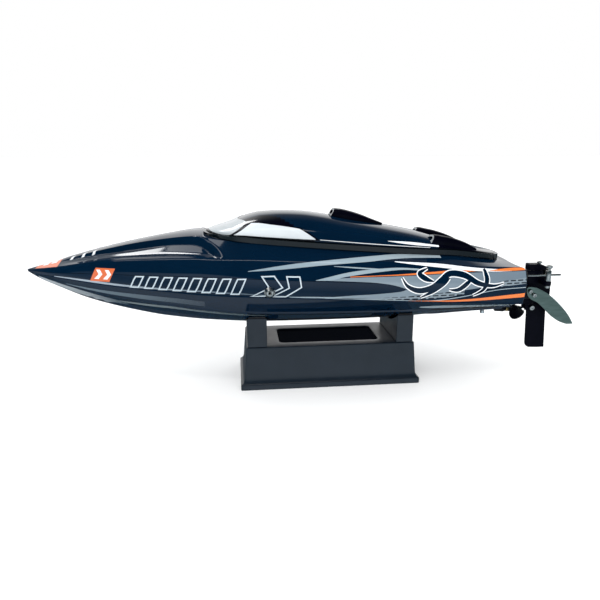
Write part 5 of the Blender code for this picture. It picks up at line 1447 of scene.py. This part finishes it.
def steering(mats):
    """Bracket, rudder holder and blade, tiller, pushrod and its boot."""
    px, py = aft(PIVOT[0]), PIVOT[1]
    pin_x, pin_z = aft(SHEAR_PIN[0]), SHEAR_PIN[1]
    bracket = plate("transom_bracket", rounded_outline(py - 7, py + 8, 66, 103, 2.2), 2.9, mats["deep"],
                    "YZ", aft(421.75), edge=0)
    parts = []
    for k, (low, high) in enumerate(LUGS):
        parts.append(box("lug_arm_%d" % k, (aft(422.5), py - 4.2, low), (px, py + 4.2, high)))
        parts.append(rod("lug_end_%d" % k, (px, py, low), (px, py, high), 4.2, edge=0.0, steps=48))
    combine(bracket, parts, "UNION")
    combine(bracket, [rod("pin_bore", (px, py, 60), (px, py, 110), 1.8, edge=0.0, steps=36)])
    bevelled(bracket, 0.4, 3)
    piece(bracket, "boat", "black_plastic", "rudder_bracket")
    screws("bracket_screw", [(aft(423.0), py + y, z) for z in (79.5, 90.5) for y in (-4.6, 5.4)],
           (1, 0, 0), 1.5, mats["steel"])
    pin = turned("hinge_pin", [(0, 65.5), (1.2, 65.5), (1.5, 65.9), (1.5, 105.8), (2.2, 105.9),
                               (2.4, 106.1), (2.4, 107.0), (2.2, 107.2), (1.2, 107.2), (1.1, 106.6),
                               (0, 106.5)], (px, py, 0), (0, 0, 1), mats["steel"], steps=36)
    piece(pin, "boat", "steel", "rudder_pin")

    outline = [(437, 63), (455.6, 63), (456.6, 63.9), (458.6, 70), (458.9, 80), (458.2, 96), (457.3, 98.6),
               (453.0, 102.7), (450.2, 104.4), (446.5, 105.3), (437.6, 105.4), (437, 104.8)]
    holder = plate("rudder_yoke", [(aft(s), z) for s, z in outline], 8.0, mats["deep"], "XZ", py, edge=0)
    arm_end = (px + TILLER[0], py + TILLER[1])
    arm = box("tiller_arm", (arm_end[0] - 3.2, arm_end[1], TILLER_Z - 1.5),
              (arm_end[0] + 3.2, py, TILLER_Z + 1.5))
    tip = rod("tiller_tip", (*arm_end, TILLER_Z - 1.5), (*arm_end, TILLER_Z + 1.5), 3.2, edge=0.0)
    combine(holder, [arm, tip], "UNION")
    cuts = [box("gap_%d" % k, (aft(430), py - 8, low - 0.5), (px + 5.0, py + 8, high + 0.5))
            for k, (low, high) in enumerate(LUGS)]
    cuts += [rod("bore_0", (px, py, 60), (px, py, 105.6), 1.8, edge=0.0),
             rod("bore_1", (*arm_end, TILLER_Z - 4), (*arm_end, TILLER_Z + 4), 1.3, edge=0.0),
             box("clevis_slot", (aft(430), py - 1.8, 60), (aft(447.0), py + 1.8, 68.6)),
             rod("bore_2", (pin_x, py - 6, pin_z), (pin_x, py + 6, pin_z), 1.4, edge=0.0)]
    combine(holder, cuts)
    bevelled(holder, 0.5, 3)
    piece(holder, "rudder", "black_plastic", "rudder_holder")

    piece(rudder_foil(py, mats), "rudder", "black_plastic", "rudder_blade")
    shear = turned("shear_pin_screw", [(0, 6.2), (1.0, 6.3), (1.1, 7.0), (1.9, 7.0), (2.2, 6.7),
                                       (2.2, 4.4), (1.1, 4.4), (1.1, -5.2), (0, -5.2)],
                   (pin_x, py, pin_z), (0, -1, 0), mats["steel"], steps=36)
    piece(shear, "rudder", "steel", "shear_screw")

    x, y = arm_end
    stopper = turned("rod_stopper", [(0, 105.4), (1.5, 105.5), (1.7, 106.0), (2.7, 106.0), (3.0, 105.7),
                                     (3.0, 104.3), (2.4, 103.6), (1.9, 103.2), (1.6, 102.6), (1.6, 101.8),
                                     (2.3, 101.6), (2.5, 101.3), (2.5, 92.3), (2.3, 92.0), (1.0, 92.0),
                                     (1.0, 88.0), (2.1, 88.0), (2.3, 87.8), (2.3, 86.0), (2.1, 85.8),
                                     (1.2, 85.8), (1.0, 85.5), (0, 85.4)],
                     (x, y, 0), (0, 0, 1), mats["steel"], steps=48)
    combine(stopper, [rod("stopper_bore", (x - 8, y, ROD_Z), (x + 8, y, ROD_Z), ROD_RADIUS + GAP,
                          edge=0.0, steps=24)])
    piece(stopper, "linkage", "steel", "linkage_stopper")
    start = SERVO_STATION + TILLER[0] + 1.6
    piece(rod("steering_rod", (aft(start), y, ROD_Z), (aft(461.5), y, ROD_Z), ROD_RADIUS, mats["steel"],
              edge=0.15, steps=24), "linkage", "steel", "pushrod")
    finer("pushrod_clevis", mats["deep"], "black_plastic", "linkage", 0.3)
    boot = [(4.0, 8.6)]
    for k in range(4):
        boot += [(4.9, 8.3 - 2 * k), (5.5, 7.9 - 2 * k), (5.6, 7.4 - 2 * k), (5.4, 7.0 - 2 * k),
                 (4.6, 6.6 - 2 * k), (4.4, 6.4 - 2 * k)]
    boot += [(5.9, 0.8), (6.0, 0.5), (6.0, 0.0), (3.6, 0.0), (3.6, 4.0), (3.6, 8.6), (4.0, 8.6)]
    bellows = ring_turned("rod_bellows", boot, (aft(HULL_LENGTH) + GAP, y, ROD_Z), (1, 0, 0),
                          mats["rubber"])
    piece(bellows, "boat", "rubber", "pushrod_boot")


def rudder_foil(py, mats):
    """Wedge-section blade, sharp in front and square behind, with a rounded lower front corner."""
    rows = []
    for z in (62.6, 58, 52, 46, 40, 35, 31.5):
        rows.append((z, 440.0 + (62.6 - z) * 0.058, 458.0 + (62.6 - z) * 0.071))
    round_off = 5.4
    for k in range(1, 9):
        a = math.radians(90 * k / 9)
        z = 25.6 + round_off * (1 - math.sin(a))
        rows.append((z, 441.9 + round_off * (1 - math.cos(a)), 458.0 + (62.6 - z) * 0.071))
    rows[-1] = (25.6, rows[-1][1], rows[-1][2])
    sections = []
    for z, front, back in rows:
        section = []
        for k in range(13):
            t = k / 12
            half = 0.35 + 1.15 * min(t / 0.55, 1.0) ** 0.8
            section.append((aft(front + (back - front) * t), py - half, z))
        section += [(x, 2 * py - y, z) for x, y, z in section[::-1]]
        sections.append(section)
    foil = loft("rudder_foil", sections, mats["deep"])
    tab = box("blade_tab", (aft(440.4), py - 1.3, 61.0), (aft(446.4), py + 1.3, 68.2))
    combine(foil, [tab], "UNION")
    x, z = aft(SHEAR_PIN[0]), SHEAR_PIN[1]
    combine(foil, [rod("tab_bore", (x, py - 6, z), (x, py + 6, z), 1.4, edge=0.0)])
    return bevelled(foil, 0.25, 2, 40)


def turn_fin(mats):
    """Sickle-shaped plate with a ground lower edge, two screws and its arm on the transom."""
    upper = [(433.5, 87.2), (438.6, 86.6), (443.6, 84.8), (452.2, 80.0), (460.6, 73.2), (467.6, 66.6),
             (473.9, 59.4), (478.9, 51.6)]
    lower = [(478.9, 51.6), (475.4, 51.4), (471.6, 51.8), (464.8, 54.4), (458.6, 58.4), (453.3, 62.9),
             (447.8, 68.2), (442.4, 72.6), (436.8, 75.4), (433.6, 78.2), (432.0, 81.2), (431.3, 84.0),
             (431.6, 86.0), (433.5, 87.2)]
    outline = []
    for line in (upper, lower):
        dense = catmull([(s, z, 0) for s, z in line], 6)
        outline += [(aft(p.x), p.y) for p in dense[:-1]]
    fin = plate("sickle_fin", outline, 1.0, mats["fin"], "XZ", FIN_Y, edge=0)
    combine(fin, [rod("fin_bore_" + name, (aft(s), FIN_Y - 6, z), (aft(s), FIN_Y + 8, z), 1.3, edge=0.0,
                      steps=28) for name, (s, z) in FIN_SCREWS.items()])
    bevelled(fin, 0.3, 2, 40)
    piece(fin, "boat", "steel", "turn_fin")
    for name, (s, z) in FIN_SCREWS.items():
        head = turned("fin_screw_" + name, [(0, 1.5), (0.95, 1.6), (1.05, 2.3), (1.5, 2.35), (1.8, 2.1),
                                            (1.9, 1.8), (1.9, 0.6), (1.0, 0.6), (1.0, -4.4), (0, -4.4)],
                      (aft(s), FIN_Y, z), (0, -1, 0), mats["steel"], steps=30)
        piece(head, "boat", "steel", "turn_fin_screw_" + name)
    finer("turn_fin_bracket", mats["plastic"], "black_plastic", "boat", 0.35)


# ---------------------------------------------------------------- electrics and cooling

def block(name, low, high, mat, slot, *nodes, edge=0.1, segments=2):
    """Round-edged box on the boat; its corners are (station, y, z)."""
    obj = box(name, (aft(low[0]), *low[1:]), (aft(high[0]), *high[1:]), mat)
    return piece(bevelled(obj, edge, segments), "boat", slot, *nodes)


def equipment(mats):
    """Everything under the hatch: tray, battery, controller, receiver, motor, servo, leads, hoses."""
    finer("equipment_tray", mats["plastic"], "black_plastic", "boat", 0.3)

    block("battery_pack", (166, -17, 77.2), (236, 17, 95.2), mats["wrap"], "battery_wrap", "battery",
          edge=2.6, segments=5)
    block("battery_band", (172, -15.2, 94.9), (190, 15.2, 95.32), mats["silver"], "battery_wrap")
    for k, s in enumerate((175, 179.5, 184)):
        block("battery_stripe_%d" % k, (s, -12, 95.2), (s + 2.2, 12, 95.42), mats["navy"],
              "battery_wrap", edge=0.08)
    strap = box("hook_loop_strap", (aft(194), -19.2, 76.9), (aft(210), 19.2, 97.0), mats["webbing"])
    bevelled(strap, 1.6, 4)
    baked(strap)
    combine(strap, [box("strap_hollow", (aft(190), -17.4, 70), (aft(214), 17.4, 95.6))])
    piece(bevelled(strap, 0.2, 2, 50), "boat", "webbing", "battery_strap")
    block("strap_tail", (194.6, 3.0, 97.05), (209.4, 17.6, 98.1), mats["webbing"], "webbing",
          edge=0.45, segments=3)

    block("esc_case", (264, -41.5, 77.2), (300, -25, 87.5), mats["plastic"], "black_plastic",
          "speed_controller", edge=1.2, segments=4)
    sink = box("esc_heat_sink", (aft(267.4), -39.8, 87.2), (aft(296.6), -26.6, 88.4), mats["aluminium"])
    fins = [box("fin_%d" % k, (aft(268), -39.6 + 2.05 * k, 88), (aft(296), -38.6 + 2.05 * k, 91))
            for k in range(7)]
    combine(sink, fins, "UNION")
    piece(bevelled(sink, 0.12, 2), "boat", "black_plastic")

    block("receiver_case", (264, 25, 77.2), (302, 41.5, 91), mats["plastic"], "black_plastic",
          "receiver_box", edge=1.4, segments=4)
    lid = box("receiver_cover", (aft(263), 24, 91.3), (aft(303), 42.5, 93.3), mats["silicone"])
    combine(lid, [box("lid_panel", (aft(267), 28, 92.7), (aft(299), 38.5, 94))])
    piece(bevelled(lid, 0.6, 3), "boat", "silicone", "receiver_lid")
    screws("lid_screw", [(aft(s), y, 93.1) for y in (26.4, 40.1) for s in (265.4, 300.6)], (0, 0, 1),
           1.1, mats["steel"], 0.7)

    motor(mats)
    x, y = aft(SERVO_STATION), PIVOT[1]
    case = box("servo_case", (x - 6, y - 6, 74.6), (x + 17, y + 6, 93.0), mats["plastic"])
    combine(case, [box("servo_ears", (x - 10.5, y - 6, 86.0), (x + 21.5, y + 6, 88.0)),
                   rod("servo_boss", (x, y, 92), (x, y, 95.4), 5.2, edge=0.0),
                   rod("servo_gear_boss", (x + 6, y, 92), (x + 6, y, 94.2), 3.6, edge=0.0)], "UNION")
    piece(bevelled(case, 0.45, 3), "boat", "black_plastic", "servo")
    screws("servo_screw", [(ear, y, 87.9) for ear in (x - 8.6, x + 19.6)], (0, 0, 1), 1.3,
           mats["steel"], 1.0)
    finer("servo_mount", mats["plastic"], "black_plastic", "boat", 0.3)
    finer("servo_horn", mats["plastic"], "black_plastic", "horn", 0.25)
    piece(screw("horn_screw", (x, y, 102.6), (0, 0, 1), 1.6, mats["steel"], 0.9), "horn", "steel")

    p = on_side(203, 94, 0.0, -1.0)
    outlet = ring_turned("outlet_nipple", [(1.2, -7.6), (1.7, -7.6), (1.9, -7.4), (1.9, 0.35), (4.0, 0.35),
                                           (4.4, 0.7), (4.4, 1.6), (3.9, 2.3), (3.3, 3.0), (3.1, 3.6),
                                           (2.6, 4.2), (1.6, 4.4), (1.2, 4.1), (1.2, -3), (1.2, -7.6)],
                         (p[0], p[1], 94), (0, -1, 0), mats["steel"])
    piece(outlet, "boat", "aluminium", "water_outlet")
    low = bottom_z(405, 7) - GAP
    pickup = turned("cooling_pickup", [(0, 66), (0.8, 66), (1.2, 65.8), (1.3, 65.4), (1.3, low - 0.4),
                                       (2.0, low - 0.7), (2.0, low - 2.9), (1.8, low - 3.2),
                                       (1.1, low - 3.2), (0.9, low - 2.4), (0, low - 2.2)],
                    (aft(405), -7, 0), (0, 0, 1), mats["aluminium"], steps=32)
    piece(pickup, "boat", "aluminium", "water_pickup")

    routes = (
        ("water_hose_supply", "line", 1.7, "silicone", "silicone",
         ((405, -7, 67.2), (404, -7.5, 72), (396, -9, 76), (370, -9.5, 77), (340, -10, 78),
          (322, -14, 78), (308, -20, 77), (292, -20.4, 75), (280, -18.6, 72.5), (274, -16.2, 71.2))),
        ("water_hose_return", "line", 1.7, "silicone", "silicone",
         ((268, -16.4, 78), (262, -19.5, 81), (255, -24, 84), (246, -30, 86), (232, -38, 88.5),
          (216, -41.4, 92.4), (207, -43, 93.8), (203, -43.8, 94))),
        ("battery_lead", "sleeve", 2.0, "red", "red_sleeve",
         ((236.5, 6, 88), (240, 5, 89), (244.5, -2, 92), (246, -12, 93.4), (250, -26, 93),
          (256, -33, 90), (260, -36, 85.6), (263.2, -36.4, 84))),
        ("motor_lead", "sleeve", 2.0, "red", "red_sleeve",
         ((253.2, -5, 79.6), (249, -7, 80.5), (246.6, -12, 81), (247.5, -20, 80.6), (252, -27, 79.7),
          (258, -30, 80), (263.4, -31, 80.4))),
    )
    for node, kind, radius, mat, slot, route in routes:
        obj = tube("%s_%s" % (node, kind), [(aft(s), y, z) for s, y, z in route], radius, mats[mat])
        piece(obj, "boat", slot, node)
    magnets(mats)


def motor(mats):
    """Brushless can with a machined end bell, in a ringed water jacket, on its angle plate."""
    start = MOTOR_REAR - MOTOR_LENGTH
    bore = SHAFT_RADIUS + GAP
    profile = [(0, 0), (9.0, 0), (10.6, 0.5), (11.6, 1.4), (12, 2.4), (12, 6.2), (11.6, 6.5), (11.6, 7.3),
               (12, 7.6), (12, 37.5), (11.6, 37.8), (11.6, 38.6), (12, 38.9), (12, 44.6), (11.4, 45.6),
               (10.4, 46), (5.0, 46), (5.0, 47.8), (4.6, 48.2), (bore, 48.2), (bore, 34), (0, 34)]
    piece(shaft_turned("motor_body", profile, start, mats["aluminium"], steps=64), "boat", "aluminium",
          "motor_can")
    inner, outer = MOTOR_RADIUS + GAP, MOTOR_RADIUS + 2.0
    ring = [(inner, 0), (outer - 0.5, 0), (outer, 0.5)]
    for k in range(4):
        at = 3.4 + k * 5.6
        ring += [(outer, at), (outer - 0.7, at + 0.5), (outer - 0.7, at + 2.3), (outer, at + 2.8)]
    ring += [(outer, 25.5), (outer - 0.5, 26), (inner, 26), (inner, 13), (inner, 0)]
    jacket = shaft_ring("water_jacket", ring, start + 8, mats["blue_aluminium"], steps=64)
    piece(jacket, "boat", "aluminium", "cooling_jacket")
    finer("motor_mount", mats["aluminium"], "aluminium", "boat", 0.35)
    face = shaft_point(MOTOR_REAR + 4.0)
    screws("mount_screw", [(face.x - 0.2, y, face.z) for y in (-7.6, 7.6)], (1, 0, 0), 1.5,
           mats["steel"])


def magnets(mats):
    """Two pairs of discs that hold the hatch on the deck."""
    for end, station in (("front", 165.0), ("rear", 399.0)):
        deck = smooth(DECK_CROWN_Z, station)
        for name, low, high, body in (("hatch", deck + 0.8, deck + 3.6, "hatch"),
                                      ("deck", deck - SKIN - 3.4, deck - SKIN - 1.4, "boat")):
            obj = rod("%s_disc_%s" % (name, end), (aft(station), 0, low), (aft(station), 0, high), 3.0,
                      mats["steel"], edge=0.3)
            piece(obj, body, "steel", "%s_magnet_%s" % (name, end))


# ---------------------------------------------------------------- studio

def floor():
    """Large pale floor; its glow lifts the soft shadow under the stand."""
    bm = bmesh.new()
    bmesh.ops.create_grid(bm, x_segments=4, y_segments=4, size=9.0)
    mat = surface("studio_floor", (0.81, 0.81, 0.81), (0.83, 0.83, 0.83), (0.85, 0.95), mottle=2.0,
                  grain=400.0, depth=0.01)
    shader = next(n for n in mat.node_tree.nodes if n.type == "BSDF_PRINCIPLED")
    shader.inputs["Emission Color"].default_value = (1.0, 1.0, 1.0, 1.0)
    shader.inputs["Emission Strength"].default_value = 0.2
    obj = mesh_object("studio_floor", bm, mat)
    obj.visible_glossy = False


def blended(tree, share, a, b):
    """Colour a where share is 0 and b where it is 1; a may be a plain colour."""
    node = tree.nodes.new("ShaderNodeMix")
    node.data_type = "RGBA"
    tree.links.new(share, node.inputs["Factor"])
    if isinstance(a, tuple):
        node.inputs["A"].default_value = a
    else:
        tree.links.new(a, node.inputs["A"])
    tree.links.new(b, node.inputs["B"])
    return node.outputs["Result"]


def studio_world():
    """White to the eye; to the object, bright behind and dim on the camera's side above the floor."""
    world = bpy.data.worlds.new("studio")
    bpy.context.scene.world = world
    world.use_nodes = True
    tree = world.node_tree
    tree.nodes.clear()
    axes = axes_of(tree, "Generated")
    ahead = map_range(tree, axes["Y"], -1.0, 1.0)
    above = colours(tree, ahead, (0.0, (0.006, 0.03, 0.04)), (0.50, (0.012, 0.04, 0.06)),
                    (0.72, (0.12, 0.15, 0.17)), (0.84, (0.8, 0.85, 0.86)), (0.92, (1.2, 1.2, 1.2)))
    dim = map_range(tree, axes["X"], -0.2, 0.06, 1.0, 0.16)
    low = map_range(tree, axes["Z"], 0.38, 0.56, 1.0, 0.0)
    above = blended(tree, math_of(tree, "MAXIMUM", dim, low), (0.0, 0.0, 0.0, 1.0), above)
    below = colours(tree, ahead, (0.0, (0.60, 0.70, 0.78)), (0.03, (0.90, 1.0, 1.08)),
                    (0.16, (0.28, 0.38, 0.44)), (0.3, (0.40, 0.5, 0.56)), (0.45, (0.72, 0.8, 0.86)),
                    (0.6, (0.44, 0.5, 0.55)), (0.72, (0.08, 0.12, 0.14)), (0.85, (0.05, 0.08, 0.1)),
                    (1.0, (0.17, 0.2, 0.22)))
    around = blended(tree, map_range(tree, axes["Z"], -0.02, 0.02), below, above)
    soft = tree.nodes.new("ShaderNodeBackground")
    tree.links.new(around, soft.inputs["Color"])
    white = tree.nodes.new("ShaderNodeBackground")
    white.inputs["Color"].default_value = (1.0, 1.0, 1.0, 1.0)
    path = tree.nodes.new("ShaderNodeLightPath")
    mix = tree.nodes.new("ShaderNodeMixShader")
    out = tree.nodes.new("ShaderNodeOutputWorld")
    tree.links.new(path.outputs["Is Camera Ray"], mix.inputs["Fac"])
    tree.links.new(soft.outputs["Background"], mix.inputs[1])
    tree.links.new(white.outputs["Background"], mix.inputs[2])
    tree.links.new(mix.outputs["Shader"], out.inputs["Surface"])


def light(name, kind, energy, direction, **settings):
    """Lamp that shines along a direction."""
    lamp = bpy.data.lights.new(name, kind)
    lamp.energy = energy
    for key, value in settings.items():
        setattr(lamp, key, value)
    obj = bpy.data.objects.new(name, lamp)
    bpy.context.scene.collection.objects.link(obj)
    obj.rotation_euler = Vector(direction).to_track_quat("-Z", "Y").to_euler()
    return obj


def sun(name, strength, direction, spread_angle):
    """Even light over the whole floor that shows in no gloss."""
    obj = light(name, "SUN", strength, direction, angle=math.radians(spread_angle))
    obj.visible_glossy = False


def softbox(name, watts, place, target, size, lights=True):
    """Long narrow lamp that shows as a line in the gloss; it may leave matt surfaces alone."""
    obj = light(name, "AREA", watts, Vector(target) - Vector(place), shape="RECTANGLE", size=size[0],
                size_y=size[1])
    obj.location = place
    obj.visible_diffuse = lights


def studio():
    """Floor, world, lamps and the camera at the photograph's viewing angle."""
    floor()
    studio_world()
    softbox("strip", 2.0, (-0.35, -0.5, 1.1), (-0.2, 0.0, 0.1), (1.3, 0.07))
    softbox("bow_box", 2.9, (-0.47, 0.14, 1.07), (-0.12, -0.02, 0.12), (0.56, 0.46), False)
    softbox("bow_strip", 6.5, (-0.52, 0.74, 1.07), (-0.12, -0.02, 0.12), (0.6, 0.26), False)
    sun("overhead", 1.9, (0.05, 0.1, -1.0), 100.0)
    for k, (x, y, strength) in enumerate(((1.0, 0.3, 0.7), (-1.0, 0.3, 0.7), (0.1, 1.0, 0.75),
                                          (-0.1, -1.0, 1.25))):
        sun("fill_%d" % k, strength, (x, y, -0.62), 110.0)
    place = Vector((-0.5, -1.5, 0.9))
    front = light("front_left", "AREA", 9.0, Vector((0.0, 0.0, 0.1)) - place, shape="DISK", size=0.9)
    front.location = place
    front.visible_glossy = False
    camera = bpy.data.cameras.new("photo_camera")
    camera.sensor_width = 36.0
    camera.lens = CAMERA_LENS
    camera.clip_start = 0.01
    obj = bpy.data.objects.new("photo_camera", camera)
    obj.location = CAMERA_PLACE
    obj.rotation_euler = (math.radians(90 - CAMERA_DOWN), 0.0, math.radians(-CAMERA_ASIDE))
    bpy.context.scene.collection.objects.link(obj)
    bpy.context.scene.camera = obj
    bpy.context.scene.view_settings.view_transform = "Standard"


# ---------------------------------------------------------------- build

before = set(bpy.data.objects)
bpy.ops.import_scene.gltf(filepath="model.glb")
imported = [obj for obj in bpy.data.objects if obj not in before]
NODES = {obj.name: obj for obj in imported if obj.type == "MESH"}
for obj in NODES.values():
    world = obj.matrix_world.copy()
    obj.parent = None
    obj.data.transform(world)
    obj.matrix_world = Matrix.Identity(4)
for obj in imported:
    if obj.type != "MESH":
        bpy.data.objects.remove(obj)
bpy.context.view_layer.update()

materials = make_materials()
studio()
hull_moulding(materials)
deck_moulding(materials)
hatch_moulding(materials)
hatch_rim(materials)
windows(materials)
ducts(materials)
side_graphics(materials)
bars(materials)
swoosh(materials)
deck_graphics(materials)
hatch_graphics(materials)
stand_moulding(materials)
cradles(materials)
driveline(materials)
steering(materials)
turn_fin(materials)
equipment(materials)

bpy.context.view_layer.update()
